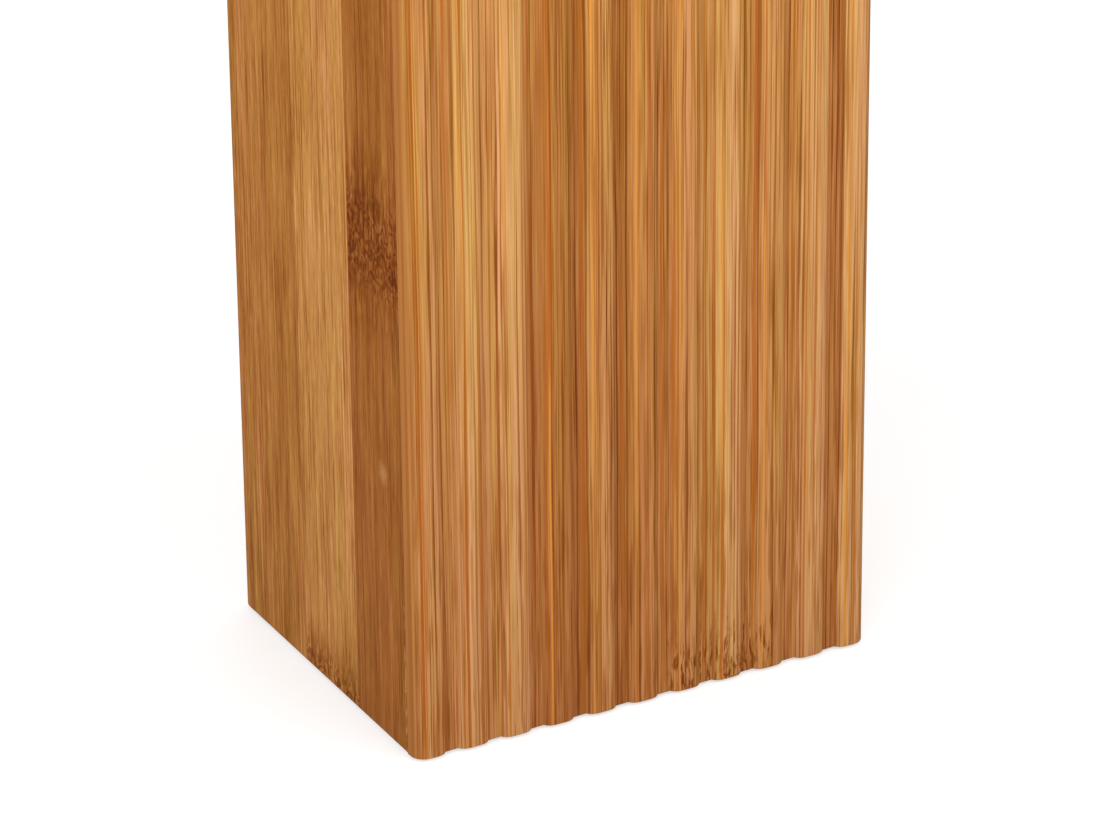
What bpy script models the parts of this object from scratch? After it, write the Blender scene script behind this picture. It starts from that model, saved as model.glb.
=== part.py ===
"""A soap dispenser: a glued bamboo case with a fluted front, a plastic liner bottle and a screw-on pump.

Metres, +Z up. The origin is on the pump's axis, on the surface that the pad stands on. The fluted
front faces -Y and the spout points the same way.
"""

import math

import bmesh
import bpy
from mathutils import Vector

# Case boards
BODY_WIDTH = 0.0766
BODY_DEPTH = 0.0584
WOOD_HEIGHT = 0.1350
FRONT_THICKNESS = 0.0030
BACK_THICKNESS = 0.0042
SIDE_THICKNESS = 0.0060
TOP_THICKNESS = 0.0060
BASE_THICKNESS = 0.0050
BACK_CORNER_RADIUS = 0.0025
GLUE_LINE = 0.0001

# Flutes of the front board
RIB_COUNT = 11
OUTER_RIB_INSET = 0.0026
GROOVE_WIDTH = 0.0021
FLUTE_DEPTH = 0.00085
RIB_SQUARENESS = 3.0
FRONT_CORNER_RADIUS = 0.0018

# Foam pad under the base
PAD_THICKNESS = 0.0025
PAD_PROUD = 0.0005
PAD_MARGIN = 0.0010
PAD_CORNER_RADIUS = 0.0040

# Clearances
SEAT_GAP = 0.0003
RUNNING_CLEARANCE = 0.00015
GUIDE_CLEARANCE = 0.0003

# Liner bottle
BOTTLE_CLEARANCE = 0.0008
BOTTLE_WALL = 0.0012
BOTTLE_CORNER_RADIUS = 0.0080
BOTTLE_FOOT_RADIUS = 0.0030
SHOULDER_RADIUS = 0.0055
SHOULDER_RISE = 0.0045
NECK_RISE = 0.0120
NECK_PUMP_CLEARANCE = 0.0037
NECK_HOLE_CLEARANCE = 0.0017

# Stem and piston
STEM_BORE_RADIUS = 0.0015
STEM_WALL = 0.0017
STEM_FOOT_CLEARANCE = 0.0013
STEM_FOOT_THICKNESS = 0.0012
STEM_SPIGOT_LENGTH = 0.0025
SEAL_LIP_LENGTH = 0.0012
SEAL_WAIST_LENGTH = 0.0012
SEAL_WAIST_DEPTH = 0.0007
SEAL_TOP_GAP = 0.0005
PRESS_STROKE = 0.0120
PRESS_STOP_GAP = 0.0005

# Sleeve and housing cap
SLEEVE_CLEARANCE = 0.0004
SLEEVE_WALL = 0.0009
SLEEVE_OVERLAP = 0.0055
CAP_SKIRT_WALL = 0.00155
CAP_SKIRT_LENGTH = 0.0060
CAP_RIM_WALL = 0.0034
CAP_RISE = 0.0021
CAP_EDGE_RADIUS = 0.0004

# Spring
SPRING_WIRE_RADIUS = 0.00045
SPRING_CLEARANCE = 0.00115
SPRING_TURNS = 8
SPRING_END_GAP = 0.0005
SPRING_SPARE = 0.0086

# Pump housing and its foot valve
GASKET_THICKNESS = 0.0012
FLANGE_THICKNESS = 0.0014
HOUSING_WALL = 0.0011
BALL_RADIUS = 0.0025
BALL_CLEARANCE = 0.0004
BALL_SNAP = 0.0004
BALL_LIFT = 0.0012
LIP_HEIGHT = 0.0012
ORIFICE_SHARE = 0.6
ORIFICE_LENGTH = 0.0010
TAIL_LENGTH = 0.0090

# Dip tube
DIP_TUBE_RADIUS = 0.0032
DIP_TUBE_WALL = 0.0010
DIP_TUBE_FLOOR_GAP = 0.0030
DIP_TUBE_SLANT = math.radians(30)

# Collar
THREAD_DEPTH = 0.0012
NUT_WALL = 0.0014
NUT_CEILING_THICKNESS = 0.0012
COVER_WALL = 0.0007
COVER_EDGE_RADIUS = 0.0020

# Head
SLEEVE_SOCKET_DEPTH = 0.0028
STEM_SOCKET_DEPTH = 0.0028
OUTLET_BALL_RADIUS = 0.0020
OUTLET_BALL_LIFT = 0.0008
OUTLET_CHANNEL_RADIUS = 0.0013
CORE_ROOF = 0.0022
HEAD_WALL = 0.0008
HEAD_EDGE_RADIUS = 0.0018
HEAD_CROWN = 0.0005

# Spout
SPOUT_RADIUS = 0.0036
SPOUT_WALL = 0.0007
SPOUT_REACH = 0.0467
SPOUT_BEND_RADIUS = 0.0110
SPOUT_BEND_ANGLE = math.radians(70)
SPOUT_END_LENGTH = 0.0050
SPOUT_ROOT_WALL = 0.0010
SPOUT_SOCKET_DEPTH = 0.0039
SPOUT_EDGE_GAP = 0.0006
TIP_RIM_LENGTH = 0.0010
TIP_WALL = 0.0010

# Facets
ROUND_STEPS = 32
COLLAR_STEPS = 48
FINE_STEPS = 20
BALL_SEGMENTS = 16
BALL_RINGS = 10
CORNER_POINTS = 8
FILLET_STEPS = 4
RIB_HALF_STEPS = 4
SHOULDER_SHARES = (0.25, 0.6)
POINTS_PER_TURN = 10
WIRE_ROUNDING = 1
SPOUT_ROUNDING = 6
SPOUT_BEND_STEPS = 10
CUTTER_REACH = 0.0020
MERGE_DISTANCE = 0.00002

# Radii of the pump, from the stem's bore outwards
STEM_RADIUS = STEM_BORE_RADIUS + STEM_WALL
SLEEVE_BORE_RADIUS = STEM_RADIUS + SLEEVE_CLEARANCE
SLEEVE_RADIUS = SLEEVE_BORE_RADIUS + SLEEVE_WALL
CAP_BORE_RADIUS = SLEEVE_RADIUS + GUIDE_CLEARANCE
CAP_SKIRT_RADIUS = CAP_BORE_RADIUS + CAP_SKIRT_WALL
CAP_RADIUS = CAP_BORE_RADIUS + CAP_RIM_WALL
HOUSING_BORE_RADIUS = CAP_SKIRT_RADIUS + RUNNING_CLEARANCE
HOUSING_RADIUS = HOUSING_BORE_RADIUS + HOUSING_WALL
SEAL_RADIUS = HOUSING_BORE_RADIUS - RUNNING_CLEARANCE
STEM_FOOT_RADIUS = HOUSING_BORE_RADIUS - STEM_FOOT_CLEARANCE
SPRING_MEAN_RADIUS = HOUSING_BORE_RADIUS - SPRING_CLEARANCE - SPRING_WIRE_RADIUS

# Radii of the neck and the collar
NECK_RADIUS = HOUSING_RADIUS + NECK_PUMP_CLEARANCE + BOTTLE_WALL
NECK_HOLE_RADIUS = NECK_RADIUS + NECK_HOLE_CLEARANCE
COLLAR_HOLE_RADIUS = CAP_RADIUS + GUIDE_CLEARANCE
NUT_BORE_RADIUS = NECK_RADIUS + THREAD_DEPTH + GUIDE_CLEARANCE
NUT_RADIUS = NUT_BORE_RADIUS + NUT_WALL
COVER_BORE_RADIUS = NUT_RADIUS + SEAT_GAP
COLLAR_RADIUS = COVER_BORE_RADIUS + COVER_WALL
COLLAR_EDGE_RADIUS = min(COVER_EDGE_RADIUS, COVER_WALL + NUT_WALL)
COLLAR_INNER_EDGE = max(COLLAR_EDGE_RADIUS - COVER_WALL, MERGE_DISTANCE)

# Radii of the head
SLEEVE_SOCKET_RADIUS = SLEEVE_RADIUS + SEAT_GAP
STEM_SOCKET_RADIUS = STEM_RADIUS + SEAT_GAP
OUTLET_POCKET_RADIUS = OUTLET_BALL_RADIUS + BALL_CLEARANCE
SPOUT_SOCKET_RADIUS = SPOUT_RADIUS + SEAT_GAP
SPOUT_SOCKET_START = max(STEM_SOCKET_RADIUS, OUTLET_POCKET_RADIUS) + SPOUT_ROOT_WALL
CORE_RADIUS = SPOUT_SOCKET_START + SPOUT_SOCKET_DEPTH
HEAD_RADIUS = CORE_RADIUS + SEAT_GAP + HEAD_WALL
HEAD_INNER_EDGE = max(HEAD_EDGE_RADIUS - HEAD_WALL, MERGE_DISTANCE)

# Levels of the case and the bottle
WOOD_BOTTOM = PAD_PROUD
WOOD_TOP = WOOD_BOTTOM + WOOD_HEIGHT
BASE_BOTTOM = PAD_THICKNESS + GLUE_LINE
BASE_TOP = BASE_BOTTOM + BASE_THICKNESS
BOTTLE_BOTTOM = BASE_TOP + SEAT_GAP
SHOULDER_TOP = WOOD_TOP - TOP_THICKNESS - SEAT_GAP
MOUTH = WOOD_TOP + NECK_RISE

# Levels of the flange, the collar and the housing cap, from the bottle's mouth upwards
GASKET_BOTTOM = MOUTH + SEAT_GAP
FLANGE_BOTTOM = GASKET_BOTTOM + GASKET_THICKNESS + SEAT_GAP
FLANGE_TOP = FLANGE_BOTTOM + FLANGE_THICKNESS
COLLAR_BOTTOM = WOOD_TOP + SEAT_GAP
NUT_CEILING = FLANGE_TOP + SEAT_GAP
NUT_TOP = NUT_CEILING + NUT_CEILING_THICKNESS
COVER_TOP = NUT_TOP + SEAT_GAP + COVER_WALL
CAP_TOP = COVER_TOP + CAP_RISE

# Levels of the piston and the spring, from the housing cap's skirt downwards
CAP_SKIRT_BOTTOM = FLANGE_TOP - CAP_SKIRT_LENGTH
SEAL_TOP = CAP_SKIRT_BOTTOM - SEAL_TOP_GAP
SEAL_BOTTOM = SEAL_TOP - 2 * (SEAL_LIP_LENGTH + SEAL_WAIST_DEPTH) - SEAL_WAIST_LENGTH
FOOT_TOP = SEAL_BOTTOM - SEAT_GAP
FOOT_BOTTOM = FOOT_TOP - STEM_FOOT_THICKNESS
STEM_BOTTOM = FOOT_BOTTOM - STEM_SPIGOT_LENGTH
SPRING_TOP = FOOT_BOTTOM - SEAT_GAP
SPRING_BOTTOM = SPRING_TOP - PRESS_STROKE - 2 * SPRING_WIRE_RADIUS * SPRING_TURNS - SPRING_SPARE
CHAMBER_FLOOR = SPRING_BOTTOM - SEAT_GAP

# Foot valve: the ball rests on a 45 degree cone, and its lift ends under the lip
LIP_RADIUS = BALL_RADIUS - BALL_SNAP
POCKET_RADIUS = BALL_RADIUS + BALL_CLEARANCE
ORIFICE_RADIUS = BALL_RADIUS * ORIFICE_SHARE
LIP_BOTTOM = CHAMBER_FLOOR - LIP_HEIGHT
BALL_TOP_CENTRE = LIP_BOTTOM - math.sqrt((BALL_RADIUS + SEAT_GAP) ** 2 - LIP_RADIUS**2)
BALL_CENTRE = BALL_TOP_CENTRE - BALL_LIFT
CONE_BOTTOM = BALL_CENTRE + ORIFICE_RADIUS - math.sqrt(2) * (BALL_RADIUS + SEAT_GAP)
CONE_TOP = CONE_BOTTOM + POCKET_RADIUS - ORIFICE_RADIUS
TAIL_SOCKET_TOP = CONE_BOTTOM - ORIFICE_LENGTH
TAIL_BOTTOM = TAIL_SOCKET_TOP - TAIL_LENGTH
TAIL_SOCKET_RADIUS = DIP_TUBE_RADIUS + SEAT_GAP
TAIL_RADIUS = max(TAIL_SOCKET_RADIUS, POCKET_RADIUS) + HOUSING_WALL

# Levels of the head, from the housing cap upwards
HEAD_BOTTOM = CAP_TOP + PRESS_STROKE + PRESS_STOP_GAP
CORE_BOTTOM = HEAD_BOTTOM + SEAT_GAP
SLEEVE_SOCKET_TOP = CORE_BOTTOM + SLEEVE_SOCKET_DEPTH
STEM_SOCKET_TOP = SLEEVE_SOCKET_TOP + STEM_SOCKET_DEPTH
SLEEVE_TOP = SLEEVE_SOCKET_TOP - SEAT_GAP
SLEEVE_BOTTOM = CAP_TOP - SLEEVE_OVERLAP
STEM_TOP = STEM_SOCKET_TOP - SEAT_GAP
OUTLET_BALL_CENTRE = STEM_TOP + math.sqrt((OUTLET_BALL_RADIUS + SEAT_GAP) ** 2 - STEM_BORE_RADIUS**2)
OUTLET_POCKET_TOP = OUTLET_BALL_CENTRE + OUTLET_BALL_RADIUS + OUTLET_BALL_LIFT + SEAT_GAP
CORE_TOP = OUTLET_POCKET_TOP + CORE_ROOF
HEAD_CEILING = CORE_TOP + SEAT_GAP
HEAD_RIM = HEAD_CEILING + HEAD_WALL
HEAD_TOP = HEAD_RIM + HEAD_CROWN
SPOUT_LEVEL = HEAD_RIM - HEAD_EDGE_RADIUS - SPOUT_EDGE_GAP - SPOUT_SOCKET_RADIUS


def clear_scene():
    for obj in list(bpy.data.objects):
        bpy.data.objects.remove(obj)


def new_collection(name):
    collection = bpy.data.collections.new(name)
    bpy.context.scene.collection.children.link(collection)
    return collection


def linear(channel):
    """One sRGB channel from 0 to 255 as the linear value that a shader takes."""
    share = channel / 255
    return share / 12.92 if share <= 0.04045 else ((share + 0.055) / 1.055) ** 2.4


def new_material(name, colour, roughness, metallic=0.0):
    material = bpy.data.materials.new(name)
    material.use_nodes = True
    shader = material.node_tree.nodes["Principled BSDF"]
    shader.inputs["Base Color"].default_value = [linear(channel) for channel in colour] + [1.0]
    shader.inputs["Roughness"].default_value = roughness
    shader.inputs["Metallic"].default_value = metallic
    return material


def new_empty(name, height, parent=None):
    """An empty on the pump's axis at a world height."""
    empty = bpy.data.objects.new(name, None)
    empty.empty_display_size = 0.01
    pieces.objects.link(empty)
    place(empty, (0.0, 0.0, height), parent)
    return empty


def place(obj, position, parent=None):
    """Puts an object at a world position under an empty. No empty is turned or scaled."""
    obj.location = position
    if parent:
        above = parent
        while above:
            obj.location -= above.location
            above = above.parent
        obj.parent = parent


def new_object(name, data, material, position, parent):
    obj = bpy.data.objects.new(name, data)
    data.materials.append(material)
    pieces.objects.link(obj)
    place(obj, position, parent)
    return obj


def cutter(name, mesh, position, rotation=(0.0, 0.0, 0.0)):
    """A hidden mesh that a Boolean takes away, at a world position."""
    obj = bpy.data.objects.new(name, mesh)
    obj.location = position
    obj.rotation_euler = rotation
    obj.hide_render = True
    obj.display_type = "WIRE"
    cutters.objects.link(obj)
    return obj


def cut(obj, tool):
    modifier = obj.modifiers.new("Cut " + tool.name, "BOOLEAN")
    modifier.operation = "DIFFERENCE"
    modifier.solver = "EXACT"
    modifier.object = tool


def box_mesh(name, size, rounded_edges=None, radius=0.0):
    """A box about its middle. rounded_edges(middle of an edge) picks the upright edges to round."""
    model = bmesh.new()
    bmesh.ops.create_cube(model, size=1.0)
    bmesh.ops.scale(model, vec=size, verts=model.verts)
    if rounded_edges:
        upright = [edge for edge in model.edges if abs(edge.verts[0].co.z - edge.verts[1].co.z) > size[2] / 2]
        picked = [edge for edge in upright if rounded_edges((edge.verts[0].co + edge.verts[1].co) / 2)]
        bmesh.ops.bevel(
            model, geom=picked, offset=radius, segments=FILLET_STEPS, profile=0.5, affect="EDGES"
        )
    mesh = bpy.data.meshes.new(name)
    model.to_mesh(mesh)
    model.free()
    return mesh


def cylinder_mesh(name, radius, length, steps=ROUND_STEPS):
    model = bmesh.new()
    bmesh.ops.create_cone(
        model, cap_ends=True, segments=steps, radius1=radius, radius2=radius, depth=length
    )
    mesh = bpy.data.meshes.new(name)
    model.to_mesh(mesh)
    model.free()
    return mesh


def ball_mesh(name, radius):
    model = bmesh.new()
    bmesh.ops.create_uvsphere(model, u_segments=BALL_SEGMENTS, v_segments=BALL_RINGS, radius=radius)
    mesh = bpy.data.meshes.new(name)
    model.to_mesh(mesh)
    model.free()
    mesh.shade_smooth()
    return mesh


def arc(centre, radius, start, end, steps=FILLET_STEPS):
    """Points from one angle to another, in degrees, about a centre."""
    turns = [math.radians(start + (end - start) * step / steps) for step in range(steps + 1)]
    return [(centre[0] + radius * math.cos(turn), centre[1] + radius * math.sin(turn)) for turn in turns]


def turned(name, profile, material, base, parent, steps=ROUND_STEPS, ring=True):
    """A profile of (radius, world height) points turned about the axis. It runs down the outer side.

    A ring closes on itself. Otherwise both ends lie on the axis. base is the world height of the origin.
    """
    edges = [(index, index + 1) for index in range(len(profile) - 1)]
    if ring:
        edges.append((len(profile) - 1, 0))
    mesh = bpy.data.meshes.new(name)
    mesh.from_pydata([(radius, 0.0, height - base) for radius, height in profile], edges, [])
    obj = new_object(name, mesh, material, (0.0, 0.0, base), parent)
    screw = obj.modifiers.new("Turn", "SCREW")
    screw.steps = steps
    screw.render_steps = steps
    screw.use_merge_vertices = True
    screw.merge_threshold = MERGE_DISTANCE
    screw.use_smooth_shade = True
    return obj


def even_shading(obj):
    """Keeps flat faces flat beside smooth round ones. It comes after the cuts."""
    obj.modifiers.new("Even shading", "WEIGHTED_NORMAL").keep_sharp = True


def rib_pitch():
    return (BODY_WIDTH - 2 * OUTER_RIB_INSET) / (RIB_COUNT - 1)


def rib_centres():
    first = OUTER_RIB_INSET - BODY_WIDTH / 2
    return [first + rib_pitch() * index for index in range(RIB_COUNT)]


def rib_half_width():
    return (rib_pitch() - GROOVE_WIDTH) / 2


def recess_at(x):
    """Depth of the front face below the rib crests at x: round-shouldered ribs, flat grooves."""
    nearest = min(rib_centres(), key=lambda centre: abs(x - centre))
    share = min(abs(x - nearest) / rib_half_width(), 1.0)
    return FLUTE_DEPTH * share**RIB_SQUARENESS


def front_outline():
    """Plan of the fluted board, counter-clockwise from its right rear corner."""
    half = BODY_WIDTH / 2
    crest = -BODY_DEPTH / 2
    rear = crest + FRONT_THICKNESS
    corner_x = half - FRONT_CORNER_RADIUS
    corner_y = crest + recess_at(corner_x) + FRONT_CORNER_RADIUS
    outline = [(half, rear), (-half, rear)]
    outline += arc((-corner_x, corner_y), FRONT_CORNER_RADIUS, 180, 270)
    for centre in rib_centres():
        for step in range(-RIB_HALF_STEPS, RIB_HALF_STEPS + 1):
            share = math.sin(math.pi / 2 * step / RIB_HALF_STEPS)
            x = centre + share * rib_half_width()
            if abs(x) < corner_x - MERGE_DISTANCE:
                outline.append((x, crest + recess_at(x)))
    outline += arc((corner_x, corner_y), FRONT_CORNER_RADIUS, 270, 360)
    return outline


def extruded(name, outline, height, material, middle, parent):
    """A flat outline in plan, filled and extruded to a height about its middle."""
    curve = bpy.data.curves.new(name, "CURVE")
    curve.dimensions = "2D"
    curve.fill_mode = "BOTH"
    curve.extrude = height / 2
    spline = curve.splines.new("POLY")
    spline.points.add(len(outline) - 1)
    for point, (x, y) in zip(spline.points, outline):
        point.co = (x, y, 0.0, 1.0)
    spline.use_cyclic_u = True
    return new_object(name, curve, material, (0.0, 0.0, middle), parent)


def level_ring(half_x, half_y, radius, height):
    """Points of a level ring with round corners. With both halves equal to the radius it is a circle."""
    points = []
    for corner, (side_x, side_y) in enumerate(((1, 1), (-1, 1), (-1, -1), (1, -1))):
        for step in range(CORNER_POINTS):
            angle = math.pi / 2 * (corner + (step + 0.5) / CORNER_POINTS)
            x = side_x * (half_x - radius) + radius * math.cos(angle)
            y = side_y * (half_y - radius) + radius * math.sin(angle)
            points.append((x, y, height))
    return points


def bottle_rings():
    """Outer rings of the bottle from its foot to its mouth."""
    half_x = BODY_WIDTH / 2 - SIDE_THICKNESS - BOTTLE_CLEARANCE
    half_y_front = BODY_DEPTH / 2 - FRONT_THICKNESS - BOTTLE_CLEARANCE
    half_y_back = BODY_DEPTH / 2 - BACK_THICKNESS - BOTTLE_CLEARANCE
    half_y = min(half_y_front, half_y_back)
    rings = []
    for step in range(FILLET_STEPS + 1):
        turn = math.pi / 2 * step / FILLET_STEPS
        inset = BOTTLE_FOOT_RADIUS * (1 - math.sin(turn))
        rise = BOTTLE_FOOT_RADIUS * (1 - math.cos(turn))
        corner = BOTTLE_CORNER_RADIUS * (1 - inset / half_y)
        rings.append(level_ring(half_x - inset, half_y - inset, corner, BOTTLE_BOTTOM + rise))
    shoulder_start = SHOULDER_TOP - SHOULDER_RISE - SHOULDER_RADIUS
    for step in range(FILLET_STEPS):
        turn = math.pi / 2 * step / FILLET_STEPS
        inset = SHOULDER_RADIUS * (1 - math.cos(turn))
        rise = SHOULDER_RADIUS * math.sin(turn)
        corner = BOTTLE_CORNER_RADIUS * (1 - inset / half_y)
        rings.append(level_ring(half_x - inset, half_y - inset, corner, shoulder_start + rise))
    shoulder_corner = BOTTLE_CORNER_RADIUS * (1 - SHOULDER_RADIUS / half_y)
    for share in SHOULDER_SHARES:
        across = 1 - share
        ring_x = NECK_RADIUS + (half_x - SHOULDER_RADIUS - NECK_RADIUS) * across
        ring_y = NECK_RADIUS + (half_y - SHOULDER_RADIUS - NECK_RADIUS) * across
        corner = NECK_RADIUS + (shoulder_corner - NECK_RADIUS) * across
        rings.append(level_ring(ring_x, ring_y, corner, SHOULDER_TOP - SHOULDER_RISE * across))
    for height in (SHOULDER_TOP, MOUTH):
        rings.append(level_ring(NECK_RADIUS, NECK_RADIUS, NECK_RADIUS, height))
    return rings


def loft_mesh(name, rings, base):
    """A skin over level rings, closed under the first one and open at the last."""
    model = bmesh.new()
    rows = [[model.verts.new((x, y, z - base)) for x, y, z in ring] for ring in rings]
    for lower, upper in zip(rows, rows[1:]):
        for index, vert in enumerate(lower):
            following = (index + 1) % len(lower)
            model.faces.new((vert, lower[following], upper[following], upper[index]))
    model.faces.new(reversed(rows[0]))
    mesh = bpy.data.meshes.new(name)
    model.to_mesh(mesh)
    model.free()
    mesh.shade_smooth()
    return mesh


def curve_along(name, points, radius, rounding):
    curve = bpy.data.curves.new(name, "CURVE")
    curve.dimensions = "3D"
    curve.bevel_depth = radius
    curve.bevel_resolution = rounding
    curve.use_fill_caps = True
    spline = curve.splines.new("POLY")
    spline.points.add(len(points) - 1)
    for point, position in zip(spline.points, points):
        point.co = (*position, 1.0)
    return curve


def mesh_along(name, points, radius, rounding):
    """The tube of curve_along as a closed mesh."""
    guide = bpy.data.objects.new(name, curve_along(name, points, radius, rounding))
    bpy.context.scene.collection.objects.link(guide)
    graph = bpy.context.evaluated_depsgraph_get()
    mesh = bpy.data.meshes.new_from_object(guide.evaluated_get(graph))
    bpy.data.objects.remove(guide)
    model = bmesh.new()
    model.from_mesh(mesh)
    bmesh.ops.remove_doubles(model, verts=model.verts, dist=MERGE_DISTANCE)
    bmesh.ops.recalc_face_normals(model, faces=model.faces)
    model.to_mesh(mesh)
    model.free()
    mesh.name = name
    mesh.shade_smooth()
    return mesh


def spring_points():
    """A helix with two close end turns, about its lower end."""
    rise = SPRING_TOP - SPRING_BOTTOM - 2 * SPRING_WIRE_RADIUS
    end_pitch = 2 * SPRING_WIRE_RADIUS + SPRING_END_GAP
    middle_pitch = (rise - 2 * end_pitch) / (SPRING_TURNS - 2)
    points = []
    for step in range(SPRING_TURNS * POINTS_PER_TURN + 1):
        turn = step / POINTS_PER_TURN
        height = SPRING_WIRE_RADIUS + end_pitch * min(turn, 1.0)
        height += middle_pitch * min(max(turn - 1.0, 0.0), SPRING_TURNS - 2.0)
        height += end_pitch * max(turn - (SPRING_TURNS - 1.0), 0.0)
        angle = 2 * math.pi * turn
        points.append((SPRING_MEAN_RADIUS * math.cos(angle), SPRING_MEAN_RADIUS * math.sin(angle), height))
    return points


def least_gap(points, radius):
    """Least distance between two stretches of one tube that lie half a turn or more apart along it."""
    apart = POINTS_PER_TURN // 2
    pairs = [
        (Vector(first) - Vector(second)).length
        for index, first in enumerate(points)
        for second in points[index + apart :]
    ]
    return min(pairs) - 2 * radius


def spout_path(start_y, end_length):
    """From start_y inside the head, level along -Y, round the bend and straight on for end_length."""
    bend_y = SPOUT_BEND_RADIUS * math.sin(SPOUT_BEND_ANGLE) + SPOUT_END_LENGTH * math.cos(SPOUT_BEND_ANGLE)
    bend_y -= SPOUT_REACH
    points = [(0.0, start_y, 0.0)]
    for step in range(SPOUT_BEND_STEPS + 1):
        turn = SPOUT_BEND_ANGLE * step / SPOUT_BEND_STEPS
        y = bend_y - SPOUT_BEND_RADIUS * math.sin(turn)
        points.append((0.0, y, -SPOUT_BEND_RADIUS * (1 - math.cos(turn))))
    end = Vector(points[-1]) + end_length * spout_direction()
    points.append(tuple(end))
    return points


def spout_direction():
    """The way that soap leaves the spout."""
    return Vector((0.0, -math.cos(SPOUT_BEND_ANGLE), -math.sin(SPOUT_BEND_ANGLE)))


def build_case():
    material = new_material("bamboo_front", (190, 130, 74), 0.5)
    side_material = new_material("bamboo_side", (178, 118, 64), 0.5)
    middle = WOOD_BOTTOM + WOOD_HEIGHT / 2
    inner_width = BODY_WIDTH - 2 * SIDE_THICKNESS
    inner_front = -BODY_DEPTH / 2 + FRONT_THICKNESS
    inner_back = BODY_DEPTH / 2 - BACK_THICKNESS
    inner_depth = inner_back - inner_front
    inner_middle = (inner_front + inner_back) / 2

    extruded("front_board", front_outline(), WOOD_HEIGHT, material, middle, case)
    back = box_mesh(
        "back_board", (BODY_WIDTH, BACK_THICKNESS, WOOD_HEIGHT), lambda edge: edge.y > 0, BACK_CORNER_RADIUS
    )
    back_y = BODY_DEPTH / 2 - BACK_THICKNESS / 2
    new_object("back_board", back, side_material, (0.0, back_y, middle), case)
    for name, side in (("left_board", -1), ("right_board", 1)):
        board = box_mesh(name, (SIDE_THICKNESS, inner_depth - 2 * GLUE_LINE, WOOD_HEIGHT))
        side_x = side * (BODY_WIDTH - SIDE_THICKNESS) / 2
        new_object(name, board, side_material, (side_x, inner_middle, middle), case)

    inset_width = inner_width - 2 * GLUE_LINE
    inset_depth = inner_depth - 2 * GLUE_LINE
    top = box_mesh("top_board", (inset_width, inset_depth, TOP_THICKNESS))
    top_board = new_object(
        "top_board", top, material, (0.0, inner_middle, WOOD_TOP - TOP_THICKNESS / 2), case
    )
    hole = cylinder_mesh(
        "neck_hole_cutter", NECK_HOLE_RADIUS, TOP_THICKNESS + 2 * CUTTER_REACH, COLLAR_STEPS
    )
    cut(top_board, cutter("neck_hole_cutter", hole, (0.0, 0.0, WOOD_TOP - TOP_THICKNESS / 2)))
    base = box_mesh("base_board", (inset_width, inset_depth, BASE_THICKNESS))
    new_object("base_board", base, material, (0.0, inner_middle, BASE_BOTTOM + BASE_THICKNESS / 2), case)

    foam = new_material("black_foam", (38, 38, 40), 0.95)
    pad = box_mesh(
        "base_pad",
        (inner_width - 2 * PAD_MARGIN, inner_depth - 2 * PAD_MARGIN, PAD_THICKNESS),
        lambda edge: True,
        PAD_CORNER_RADIUS,
    )
    new_object("base_pad", pad, foam, (0.0, inner_middle, PAD_THICKNESS / 2), case)


def build_bottle():
    material = new_material("liner_plastic", (226, 226, 220), 0.45)
    mesh = loft_mesh("liner_bottle", bottle_rings(), BOTTLE_BOTTOM)
    bottle = new_object("liner_bottle", mesh, material, (0.0, 0.0, BOTTLE_BOTTOM), case)
    wall = bottle.modifiers.new("Wall", "SOLIDIFY")
    wall.thickness = BOTTLE_WALL
    wall.offset = -1.0
    wall.use_even_offset = True


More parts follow.
